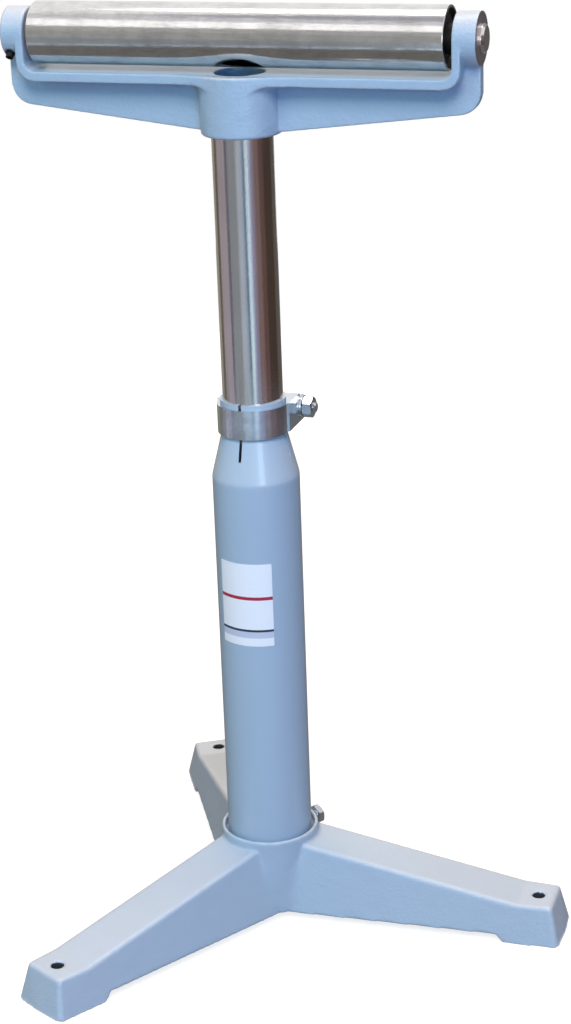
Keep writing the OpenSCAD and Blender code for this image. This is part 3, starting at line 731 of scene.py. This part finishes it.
def span(node, direction):
    """How far a CAD node reaches along a direction: its lowest and highest value."""
    places = [point.dot(direction) for point in points_of(node)]
    return min(places), max(places)


X_AXIS, Y_AXIS, Z_AXIS = Vector((1, 0, 0)), Vector((0, 1, 0)), Vector((0, 0, 1))
print("the roller's ends are at", [round(end, 4) for end in span("roller_tube", X_AXIS)], "m")

# %% [markdown]
# ## Castings
# Cast iron has no sharp edges: every outer edge is rounded and every inner corner is filled by a
# fillet. The copy of a CAD casting is merged and rebuilt with a voxel remesh, which gives it even
# small faces but leaves faint steps on sloping walls. So its points are put back on the CAD
# surface, and then it is smoothed. Smoothing pulls edges and corners to soft rounds and leaves
# flat walls flat, which is just what the foundry's sand does.

# %% Rebuilding a casting
def merged_copy(node):
    """A bmesh of a CAD node with its loose triangles joined."""
    bm = bmesh.new()
    bm.from_mesh(frame["nodes"][node].data)
    bmesh.ops.remove_doubles(bm, verts=bm.verts, dist=MERGE)
    return bm


def apply_modifiers(made):
    seen = made.evaluated_get(bpy.context.evaluated_depsgraph_get())
    shaped = bpy.data.meshes.new_from_object(seen)
    made.modifiers.clear()
    made.data = shaped
    return made


def rebuild(made, voxel):
    remesh = made.modifiers.new("voxels", "REMESH")
    remesh.mode = "VOXEL"
    remesh.voxel_size = voxel
    return apply_modifiers(made)


def settle_on_cad(made, node, reach):
    """Moves the points that lie within reach of the CAD surface onto it, so walls are truly flat."""
    bm = merged_copy(node)
    surface = BVHTree.FromBMesh(bm)
    bm.free()
    for vertex in made.data.vertices:
        nearest = surface.find_nearest(vertex.co, reach)[0]
        if nearest is not None:
            vertex.co = nearest
    made.data.update()


# %% Smoothing
# How far each round moves a point towards the middle of its neighbours
SMOOTH_SHARE = 0.5


def soften(made, rounds, level_only=False, weight=None):
    """Smooths a mesh. weight, a function of the place, says how strongly each point gives way."""
    smooth = made.modifiers.new("soften", "SMOOTH")
    smooth.factor = SMOOTH_SHARE
    smooth.iterations = rounds
    smooth.use_z = not level_only
    if weight is not None:
        group = made.vertex_groups.new(name="soft")
        for vertex in made.data.vertices:
            strength = weight(vertex.co)
            if strength > 0:
                group.add([vertex.index], strength, "REPLACE")
        smooth.vertex_group = group.name
    apply_modifiers(made)
    made.vertex_groups.clear()
    return made


def ramp(value, start, end):
    """0 at start, 1 at end, and smooth between them."""
    share = min(1, max(0, (value - start) / (end - start)))
    return share * share * (3 - 2 * share)


# %% [markdown]
# The base is the largest piece. Where two legs meet at the hub, the real casting flows from one
# leg into the next in a broad hollow. So the points in these three valleys first get many rounds
# of level smoothing and some in all directions, which even out the slope, and then everything
# gets the few rounds that round the edges.

# %% Base casting
BASE_VOXEL = 0.0018
BASE_ROUNDS = 3
VALLEY_ROUNDS = 72
EVEN_ROUNDS = 20
VALLEY_REACH = (0.085, 0.055)
VALLEY_HALF_TURN = (math.radians(46), math.radians(24))
VALLEY_FOOT = (0.008, 0.02)
VALLEY_TOP = (0.062, 0.045)
HUB_INSIDE_R = 0.0395


def in_valley(place):
    """1 deep in a valley between two legs, falling to 0 at its borders."""
    radius = math.hypot(place.x, place.y)
    turn = math.atan2(place.y, place.x) - BASE_TURN
    leg_turn = 2 * math.pi / LEGS
    off_centre = abs((turn % leg_turn) - leg_turn / 2)
    inside = ramp(radius, *VALLEY_REACH) * ramp(off_centre, *VALLEY_HALF_TURN)
    outer_skin = 1 if radius > HUB_INSIDE_R else 0
    return outer_skin * inside * ramp(place.z, *VALLEY_FOOT) * ramp(place.z, *VALLEY_TOP)


def make_base():
    made = new_object("base_cast", merged_copy("base_casting"))
    rebuild(made, BASE_VOXEL)
    settle_on_cad(made, "base_casting", BASE_VOXEL)
    soften(made, VALLEY_ROUNDS, level_only=True, weight=in_valley)
    soften(made, EVEN_ROUNDS, weight=in_valley)
    soften(made, BASE_ROUNDS)
    made.data.shade_smooth()
    put_in_place(made, "base_casting")


make_base()

# %% [markdown]
# The fork gets a finer remesh. Its bosses are machined after casting, so their ends are crisp:
# they are made 2 mm too long, rebuilt and smoothed with the rest, and then cut back flat.

# %% Fork casting
FORK_VOXEL = 0.00125
FORK_ROUNDS = 4
BOSS_SPARE = 0.002
BOSS_END = boss_reach - MERGE * 10


def make_fork():
    bm = merged_copy("fork_casting")
    for point in bm.verts:
        if abs(point.co.x) > BOSS_END:
            point.co.x += math.copysign(BOSS_SPARE, point.co.x)
    made = new_object("fork_cast", bm)
    rebuild(made, FORK_VOXEL)
    settle_on_cad(made, "fork_casting", FORK_VOXEL)
    soften(made, FORK_ROUNDS)
    bm = bmesh.new()
    bm.from_mesh(made.data)
    for side in (-1, 1):
        rim = cut_flat(bm, (side * boss_reach, 0, 0), (side, 0, 0))
        bmesh.ops.triangle_fill(bm, edges=rim, use_beauty=True, normal=(side, 0, 0))
    bm.to_mesh(made.data)
    bm.free()
    made.data.shade_smooth()
    for face in made.data.polygons:
        if abs(face.center.x) > BOSS_END:
            face.use_smooth = False
    put_in_place(made, "fork_casting", fork_paint)


make_fork()

# %% [markdown]
# ## Turned steel
# The roller is a ground tube with a small rounding at each end, and its bore is painted dark as shade.
# The axle is a bright bar with a head turned on one end and a groove for each retaining ring.
# The spacers, in the same dark steel as painted shade in the roller's ends, are plain rings
# with broken edges.

# %% Roller
# Lays an upright piece along the x axis
LAID = Matrix.Rotation(math.pi / 2, 4, "Y")
ON_AXLE = Matrix.Translation((0, 0, axle_height)) @ LAID
ROLLER_EDGE = 0.0006


def radii_on_axle(node):
    """The smallest and the largest distance of a node's points from the axle's axis."""
    distances = [math.hypot(point.y, point.z - axle_height) for point in points_of(node)]
    return min(distances), max(distances)


def make_roller():
    bore, radius = radii_on_axle("roller_tube")
    start, end = span("roller_tube", X_AXIS)
    bm = turned_ring(bore, radius, start, end, ROLLER_EDGE, ON_AXLE)
    made = dress("roller_tube", "roller_ground", bm)
    # The bore's faces take the dark steel: painted shade inside the tube
    made.data.materials.append(metals["oiled_steel"])
    for face in made.data.polygons:
        middle = face.center
        if math.hypot(middle.y, middle.z - axle_height) < bore + ROLLER_EDGE / 2:
            face.material_index = 1


make_roller()

# %% Axle and spacers
AXLE_HEAD_R = 0.012
AXLE_EDGE = 0.0004
AXLE_FIT = 0.00005
SPACER_EDGE = 0.0004


def make_axle():
    start, end = span("axle", X_AXIS)
    radius = radii_on_axle("axle_spacer_left")[0] - AXLE_FIT
    chamfer = AXLE_HEAD_R - radius
    corners = [(0, start, 0), (radius, start, AXLE_EDGE)]
    for clip in ("axle_clip_left", "axle_clip_right"):
        low, high = span(clip, X_AXIS)
        groove_r = radii_on_axle(clip)[0] - AXLE_FIT
        corners += [(radius, low, 0), (groove_r, low, 0), (groove_r, high, 0), (radius, high, 0)]
    corners += [
        (radius, boss_reach, 0), (AXLE_HEAD_R, boss_reach, 0),
        (AXLE_HEAD_R, end - chamfer, AXLE_EDGE), (radius, end, AXLE_EDGE), (0, end, 0),
    ]
    dress("axle", "axle_turned", lathe(corners, ON_AXLE, closed=False))


def make_spacer(node):
    bore, radius = radii_on_axle(node)
    start, end = span(node, X_AXIS)
    bm = turned_ring(bore, radius, start, end, SPACER_EDGE, ON_AXLE)
    # The spacers take the dark steel: painted shade inside the roller's ends
    dress(node, node + "_eased", bm, metals["oiled_steel"])


make_axle()
for node in ("axle_spacer_left", "axle_spacer_right"):
    make_spacer(node)

# %% [markdown]
# ## Screw threads and hexagons
# A thread is a small notch swept round and along its axis. A hexagon head is a prism whose
# corners are turned off by a 30 degree chamfer: each ring of points below follows the hexagon's
# outline, and the chamfer lowers the points that stand out furthest.

# %% Thread
THREAD_STEPS = 32
THREAD_DEPTH_SHARE = 0.58
# Where the thread's flat crest starts and ends, as shares of the pitch
CREST = (0.56, 0.44)
# The thread is swept this much longer than the rod, and then cut off at both ends
SPARE_TURNS = 2


def thread(radius, pitch, low, high):
    """A threaded rod from low to high on the z axis, cut flat at both ends."""
    bm = bmesh.new()
    root = radius - pitch * THREAD_DEPTH_SHARE
    crest = [(radius, low - pitch * share) for share in CREST]
    notch = [(root, low - pitch), *crest, (root, low)]
    turns = math.ceil((high - low) / pitch) + SPARE_TURNS
    sweep_line(bm, [(across, 0, along) for across, along in notch],
               FULL_TURN * turns, THREAD_STEPS * turns, rise=pitch / THREAD_STEPS)
    bmesh.ops.remove_doubles(bm, verts=bm.verts, dist=MERGE)
    for height, outward in ((low, -1), (high, 1)):
        bmesh.ops.edgeloop_fill(bm, edges=cut_flat(bm, (0, 0, height), (0, 0, outward)))
    return settle(bm)


def tapered_end(radius, start, end):
    """The short cone at the end of a threaded rod."""
    tip = radius - (end - start)
    return lathe([(0, start, 0), (radius, start, 0), (tip, end, 0), (0, end, 0)], closed=False)


# %% Hexagon
HEX_STEPS = 96
HEX_SHARPNESS = 70
CHAMFER_SLOPE = math.tan(math.radians(30))
# The flat face's width as a share of the hexagon's, and a countersink's depth as one of the bore
HEX_FACE_SHARE = 0.95
SINK_SHARE = 0.12


def hex_radius(turn, across_flats):
    """Radius of a hexagon with slightly rounded corners, at a turn from one of its corners."""
    corner_turn = turn + math.pi / 6
    reach = sum(max(0, math.cos(corner_turn - side * math.pi / 3)) ** HEX_SHARPNESS for side in range(6))
    return across_flats / 2 * reach ** (-1 / HEX_SHARPNESS)


def add_ring(bm, place_at):
    """A closed ring of points. place_at gives the radius and height at a turn."""
    turns = [2 * math.pi * step / HEX_STEPS for step in range(HEX_STEPS)]
    return [bm.verts.new(at_turn(turn, *place_at(turn))) for turn in turns]


def bridge(bm, first, second):
    for index in range(HEX_STEPS):
        after = (index + 1) % HEX_STEPS
        bm.faces.new((first[index], first[after], second[after], second[index]))


def hexagon(across_flats, low, high, bore=0):
    """A hexagon head or nut with both faces chamfered. A bore gets a countersink at each face."""
    bm = bmesh.new()
    face_r = across_flats / 2 * HEX_FACE_SHARE

    def outer(edge, inward):
        def place_at(turn):
            radius = hex_radius(turn, across_flats)
            return radius, edge + inward * (radius - face_r) * CHAMFER_SLOPE
        return place_at

    rings = [
        add_ring(bm, lambda turn: (face_r, low)), add_ring(bm, outer(low, 1)),
        add_ring(bm, outer(high, -1)), add_ring(bm, lambda turn: (face_r, high)),
    ]
    if bore:
        sink = bore * SINK_SHARE
        rings += [
            add_ring(bm, lambda turn: (bore + sink, high)), add_ring(bm, lambda turn: (bore, high - sink)),
            add_ring(bm, lambda turn: (bore, low + sink)), add_ring(bm, lambda turn: (bore + sink, low)),
        ]
        bridge(bm, rings[-1], rings[0])
    else:
        bm.faces.new(rings[0])
        bm.faces.new(rings[-1])
    for first, second in zip(rings, rings[1:]):
        bridge(bm, first, second)
    return settle(bm)


# %% [markdown]
# The clamp bolt runs through the collar's ears, with its head on the left and a nut on the right.
# Its thread is M10 with 1.5 mm pitch, and so is the hub's set screw. A set screw has a plain
# hexagon head. Each screw is built upright and then laid on its own axis.

# %% Bolt, nut and washers
M10_R = 0.005
M10_PITCH = 0.0015
M10_HEAD_H = 0.0064
BOLT_AF = 0.017
END_TAPER = 0.0009
WASHER_R = 0.01
WASHER_EDGE = 0.0003

washer_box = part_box("clamp_washers")
bolt_y = (washer_box[0].y + washer_box[1].y) / 2
bolt_z = (washer_box[0].z + washer_box[1].z) / 2
ON_BOLT = Matrix.Translation((0, bolt_y, bolt_z)) @ LAID


def make_clamp_bolt():
    start, end = span("clamp_bolt", X_AXIS)
    neck = start + M10_HEAD_H
    bm = join(hexagon(BOLT_AF, start, neck), thread(M10_R, M10_PITCH, neck, end - END_TAPER),
              tapered_end(M10_R - END_TAPER / 2, end - END_TAPER, end))
    bm.transform(ON_BOLT)
    dress("clamp_bolt", "clamp_bolt_threaded", bm)


def make_clamp_nut():
    bm = hexagon(BOLT_AF, *span("clamp_nut", X_AXIS), bore=M10_R)
    bm.transform(ON_BOLT)
    dress("clamp_nut", "clamp_nut_hex", bm)


def make_washers():
    start, end = span("clamp_washers", X_AXIS)
    ear = span("clamp_collar", X_AXIS)
    rings = [turned_ring(M10_R + AXLE_FIT, WASHER_R, low, high, WASHER_EDGE, ON_BOLT)
             for low, high in ((start, ear[0]), (ear[1], end))]
    dress("clamp_washers", "clamp_washers_eased", join(*rings))


make_clamp_bolt()
make_clamp_nut()
make_washers()

# %% Set screw
SCREW_AF = 0.016


def make_set_screw():
    turn = BASE_TURN + math.pi / LEGS
    outward = at_turn(turn, 1)
    start, end = span("hub_set_screw", outward)
    low, high = span("hub_set_screw", Z_AXIS)
    in_hub = Matrix.Rotation(turn, 4, "Z") @ Matrix.Translation((0, 0, (low + high) / 2))
    bm = join(thread(M10_R, M10_PITCH, start, end - M10_HEAD_H), hexagon(SCREW_AF, end - M10_HEAD_H, end))
    bm.transform(in_hub @ LAID)
    dress("hub_set_screw", "hub_screw_threaded", bm)


make_set_screw()

# %% [markdown]
# The two grub screws have no head: a hexagon socket is pressed into the outer end. One stands
# out under the left boss and locks the axle; the other is sunk in the fork's hub at the back and
# holds the mast.

# %% Grub screws
GRUB_R = 0.004
GRUB_PITCH = 0.00125
GRUB_SOCKET_AF = 0.004
GRUB_SOCKET_DEPTH = 0.003
GRUB_TILT = math.radians(42)


def grub_screw(start, end):
    """A headless screw on the z axis with its hexagon socket at the upper end."""
    rim = GRUB_R - GRUB_PITCH * THREAD_DEPTH_SHARE
    body = thread(GRUB_R, GRUB_PITCH, start, end - GRUB_SOCKET_DEPTH)
    bm = bmesh.new()
    rings = [
        add_ring(bm, lambda turn: (rim, end - GRUB_SOCKET_DEPTH)),
        add_ring(bm, lambda turn: (rim, end)),
        add_ring(bm, lambda turn: (hex_radius(turn, GRUB_SOCKET_AF), end)),
        add_ring(bm, lambda turn: (hex_radius(turn, GRUB_SOCKET_AF), end - GRUB_SOCKET_DEPTH)),
    ]
    for first, second in zip(rings, rings[1:]):
        bridge(bm, first, second)
    bm.faces.new(rings[-1])
    return join(body, settle(bm))


def make_grub(node, piece, place, direction):
    start, end = span(node, direction)
    along = place.dot(direction)
    bm = grub_screw(start - along, end - along)
    bm.transform(Matrix.Translation(place) @ direction.to_track_quat("Z", "X").to_matrix().to_4x4())
    dress(node, piece, bm)


axle_grub_x = sum(span("axle_grub_screw", X_AXIS)) / 2
mast_grub_z = sum(span("mast_grub_screw", Z_AXIS)) / 2
make_grub("axle_grub_screw", "axle_grub_threaded", Vector((axle_grub_x, 0, axle_height)),
          Vector((0, -math.sin(GRUB_TILT), -math.cos(GRUB_TILT))))
make_grub("mast_grub_screw", "mast_grub_threaded", Vector((0, 0, mast_grub_z)), Y_AXIS)

# %% [markdown]
# ## Collar
# The clamp collar is cut from bar and zinc plated. Its CAD copy is merged, the small triangles
# of each flat face are dissolved into one face, and every edge sharper than 30 degrees is
# bevelled. Weighted normals then keep the large faces flat next to the narrow bevels.

# %% Collar
COLLAR_EDGE = 0.0005
BEVEL_FROM = math.radians(30)
BEVELS_SMOOTH_UP_TO = math.radians(60)
FLAT_WITHIN = math.radians(0.5)
BEVEL_SEGMENTS = 3


def make_collar():
    bm = merged_copy("clamp_collar")
    bmesh.ops.dissolve_limit(bm, angle_limit=FLAT_WITHIN, verts=bm.verts, edges=bm.edges,
                             use_dissolve_boundaries=False)
    sharp = [edge for edge in bm.edges if edge.is_manifold and edge.calc_face_angle() > BEVEL_FROM]
    bmesh.ops.bevel(bm, geom=sharp, offset=COLLAR_EDGE, offset_type="OFFSET", segments=BEVEL_SEGMENTS,
                    profile=0.5, affect="EDGES", material=-1, clamp_overlap=True)
    made = shade(new_object("clamp_collar_eased", settle(bm)), BEVELS_SMOOTH_UP_TO)
    weigh = made.modifiers.new("weigh", "WEIGHTED_NORMAL")
    weigh.keep_sharp = True
    apply_modifiers(made)
    put_in_place(made, "clamp_collar")


make_collar()

# %% [markdown]
# ## Label
# The label is a thin sheet with rounded corners, laid flat first and then bent round the column.
# It needs enough upright strips to bend smoothly.

# %% Label
LABEL_CORNER = 0.0012
LABEL_STRIPS = 32


def make_label():
    distances = [math.hypot(point.x, point.y) for point in points_of("column_label")]
    turns = [math.atan2(point.y, point.x) for point in points_of("column_label")]
    inside, outside = min(distances), max(distances)
    middle = (min(turns) + max(turns)) / 2
    half_turn = (max(turns) - min(turns)) / 2
    half = Vector((half_turn * outside, (label_high.z - label_low.z) / 2, 1))
    bm = bmesh.new()
    bmesh.ops.create_grid(bm, x_segments=LABEL_STRIPS, y_segments=LABEL_STRIPS, size=1)
    bmesh.ops.scale(bm, vec=half, verts=bm.verts)
    corners = [point for point in bm.verts if len(point.link_edges) == 2]
    bmesh.ops.bevel(bm, geom=corners, offset=LABEL_CORNER, offset_type="OFFSET", segments=BEVEL_SEGMENTS,
                    profile=0.5, affect="VERTICES", material=-1)
    bmesh.ops.solidify(bm, geom=bm.faces[:], thickness=outside - inside)
    top = max(point.co.z for point in bm.verts)
    for point in bm.verts:
        turn = middle + point.co.x / outside
        radius = outside + point.co.z - top
        point.co = at_turn(turn, radius, point.co.y + (label_low.z + label_high.z) / 2)
    dress("column_label", "label_sheet", settle(bm))


make_label()

# %% [markdown]
# ## The room and the light
# The floor is plain and white, and it keeps the stand's shadow. Camera, glossy and transmission
# rays see it and the world as white.

# %% Floor and world
FLOOR_R = 1.9
FLOOR_TONE = 0.3
FLOOR_GLOW = 0.8


def seen_rays(tree):
    """1 for camera, glossy and transmission rays."""
    rays = add(tree, "LightPath").outputs
    straight = calculate(tree, "MAXIMUM", rays["Is Camera Ray"], rays["Is Glossy Ray"])
    return calculate(tree, "MAXIMUM", straight, rays["Is Transmission Ray"])


def make_floor():
    bm = bmesh.new()
    bmesh.ops.create_circle(bm, cap_ends=True, segments=LATHE_STEPS, radius=FLOOR_R)
    floor = new_object("floor", bm)
    material, tree, shader = start_material("floor_white", Roughness=0.9, Specular_IOR_Level=0.0)
    shader.inputs["Base Color"].default_value = (FLOOR_TONE, FLOOR_TONE, FLOOR_TONE, 1)
    shader.inputs["Emission Color"].default_value = (1, 1, 1, 1)
    glow = calculate(tree, "MULTIPLY", seen_rays(tree), FLOOR_GLOW)
    tree.links.new(glow, shader.inputs["Emission Strength"])
    floor.data.materials.append(material)


AMBIENT = (0.005, 0.01, 0.13, 1)


def make_world():
    world = bpy.data.worlds.new("studio")
    bpy.context.scene.world = world
    world.use_nodes = True
    tree = world.node_tree
    colour = mix_colour(tree, seen_rays(tree), AMBIENT, (1, 1, 1, 1))
    tree.links.new(colour, tree.nodes["Background"].inputs["Color"])


make_floor()
make_world()
bpy.context.scene.view_settings.view_transform = "Standard"

# %% [markdown]
# The lamps follow a workshop by day: a warm lamp overhead and a little behind, plain daylight
# from the front, the blue light of a window at the right of the camera, and faint fills at the
# left, at the right and behind. Glossy surfaces don't show these lamps, because the cards further
# down give them their reflections.

# %% Lamps
TARGET = Vector((0, 0, 0.4))
# Each lamp: its turn in degrees, how far out and how high it hangs, its size, colour and power
LAMPS = {
    "top_softbox": (90, 0.9, 6.0, (3.6, 2.5), (1.0, 0.53, 0.245), 430),
    "front_daylight": (-75, 3.5, 4.4, (2.5, 2.5), (0.95, 0.94, 0.97), 234),
    "left_softbox": (-125, 2.5, 1.7, (1.4, 1.4), (0.57, 1.0, 0.84), 19),
    "right_softbox": (0, 2.4, 1.4, (1.4, 1.4), (0.4, 0.9, 0.7), 7),
    "back_fill": (88, 3.0, 1.3, (1.6, 1.6), (0.5, 1.0, 0.85), 18),
    "window_daylight": (-58, 2.3, 1.02, (0.5, 0.75), (0.05, 0.4, 1.0), 15),
}


def make_lamp(name, degrees, distance, height, size, colour, power):
    """A softbox that faces the stand and that glossy surfaces don't show."""
    light = bpy.data.lights.new(name, "AREA")
    light.shape = "RECTANGLE"
    light.size, light.size_y = size
    light.color = colour
    light.energy = power
    lamp = bpy.data.objects.new(name, light)
    bpy.context.scene.collection.objects.link(lamp)
    spot = at_turn(math.radians(degrees), distance, height)
    aim = (spot - TARGET).to_track_quat("Z", "Y").to_matrix().to_4x4()
    lamp.matrix_world = Matrix.Translation(spot) @ aim
    lamp.visible_glossy = False


for lamp_name, row in LAMPS.items():
    make_lamp(lamp_name, *row)

# %% [markdown]
# Bright metal shows what stands round it. So cards that only glossy rays see stand in a ring
# round the stand, for the mast: greys, a pale strip for the window, and warm dark ones at the
# right. A second ring lies on the floor, where the clamp collar looks. Tall walls, a ceiling and
# a dark floor card inside the rings do the same for the roller, and two bright cards are the
# images of the overhead lamp and the window. The gaps stay white.

# %% Tones of the cards
CARD_R = 1.5
CARD_FOOT = 0.003
RING_TOP = 0.55
# The ring's cards follow one another: each has the turn in degrees where it ends, and its tone
FIRST_TURN = -232
RING_CARDS = {
    "grey_far_left": (-204, (162, 156, 146)),
    "dark_far_left": (-186, (104, 98, 86)),
    "grey_left": (-144, (166, 158, 166)),
    "notch_left": (-134, (104, 102, 120)),
    "grey_front": (-100, (144, 150, 156)),
    "pale_front": (-81, (176, 188, 202)),
    "blue_front": (-75, (150, 168, 190)),
    "blue_line": (-67, (96, 122, 154)),
    "window_foot": (-55, (218, 242, 255)),
    "mauve_front": (-47, (158, 170, 208)),
    "mauve_right": (-36, (142, 132, 152)),
    "warm_right": (-16, (126, 106, 106)),
    "brown_right": (4, (102, 78, 74)),
    "dark_right": (48, (72, 60, 54)),
    "grey_back": (66, (96, 90, 84)),
    "pale_back": (86, (96, 96, 98)),
}
# The same for the cards on the floor, which the clamp collar shows
FLOOR_CARDS = {
    "floor_far_left": (-200, (128, 130, 116)),
    "floor_left": (-168, (128, 131, 130)),
    "floor_left_strip": (-143, (192, 196, 216)),
    "floor_left_front": (-104, (170, 182, 196)),
    "floor_front": (-72, (198, 222, 238)),
    "floor_window": (-54, (190, 216, 240)),
    "floor_right_front": (-36, (166, 184, 210)),
    "floor_mauve": (-16, (151, 152, 170)),
    "floor_right": (6, (126, 117, 125)),
    "floor_dark": (40, (108, 99, 106)),
    "floor_back": (128, (108, 114, 118)),
}
FLOOR_CARDS_R = 1.2
WALL_TOP = 1.6
CEILING_Z = 2.6
BRIGHT = (255, 255, 255)
# The large cards also give the turn where they start, and their two long edges as (radius,
# height). The last number, where there is one, is how brightly they glow
LARGE_CARDS = {
    "low_back": (86, 128, (112, 110, 108), (CARD_R, CARD_FOOT), (CARD_R, 0.25)),
    "wall_low": (-152, -92, (164, 165, 165), (CARD_R, RING_TOP), (CARD_R, 1.15)),
    "wall_high": (-152, -92, (180, 180, 179), (CARD_R, 1.15), (CARD_R, WALL_TOP)),
    "wall_left": (-232, -152, (150, 148, 146), (CARD_R, RING_TOP), (CARD_R, 1.2)),
    "wall_right": (-45, 40, (120, 110, 108), (CARD_R, RING_TOP), (CARD_R, 1.2)),
    "wall_front_top": (-152, -92, BRIGHT, (CARD_R, WALL_TOP), (CARD_R, 2.5), 1.35),
    "wall_back": (40, 88, (98, 95, 99), (CARD_R, RING_TOP), (CARD_R, 1.1)),
    "wall_back_top": (40, 88, (165, 165, 167), (CARD_R, 1.1), (CARD_R, 1.9)),
    "ceiling": (-160, -70, (178, 179, 188), (0.1, CEILING_Z), (0.9, CEILING_Z)),
    "ceiling_edge": (-160, -70, (224, 224, 230), (0.9, CEILING_Z), (1.55, CEILING_Z)),
    "lamp_image": (20, 160, BRIGHT, (0.1, CEILING_Z), (0.9, CEILING_Z), 5),
    "window_image": (-62, -47, (238, 248, 255), (2.25, 0.66), (2.25, 1.38), 8),
    "floor_near": (-180, 180, (114, 113, 111), (0.05, CARD_FOOT), (FLOOR_CARDS_R, CARD_FOOT)),
}


# %% Making the cards
CARD_STEP = math.radians(3)


def card_object(name, bm, tone, strength):
    """A glowing card that only glossy rays see."""
    card = new_object("card_" + name, bm)
    material = bpy.data.materials.new("card_" + name)
    material.use_nodes = True
    tree = material.node_tree
    tree.nodes.remove(tree.nodes["Principled BSDF"])
    glow = add(tree, "Emission", {"Color": from_screen(*tone), "Strength": strength})
    tree.links.new(glow.outputs["Emission"], tree.nodes["Material Output"].inputs["Surface"])
    card.data.materials.append(material)
    card.visible_camera = False
    card.visible_diffuse = False
    card.visible_shadow = False
    card.visible_transmission = False


def round_card(name, start, end, tone, inner, outer, strength=1.0):
    """A card swept round the stand between two turns. inner and outer are (radius, height)."""
    bm = bmesh.new()
    angle = math.radians(end - start)
    ends = [at_turn(math.radians(start), radius, height) for radius, height in (inner, outer)]
    sweep_line(bm, ends, angle, max(2, round(angle / CARD_STEP)))
    card_object(name, bm, tone, strength)


def card_row(cards, inner, outer):
    """Cards that follow one another round the stand."""
    start = FIRST_TURN
    for name, (end, tone) in cards.items():
        round_card(name, start, end, tone, inner, outer)
        start = end


card_row(RING_CARDS, (CARD_R, CARD_FOOT), (CARD_R, RING_TOP))
card_row(FLOOR_CARDS, (FLOOR_CARDS_R, CARD_FOOT), (CARD_R, CARD_FOOT))
for card_name, row in LARGE_CARDS.items():
    round_card(card_name, *row)
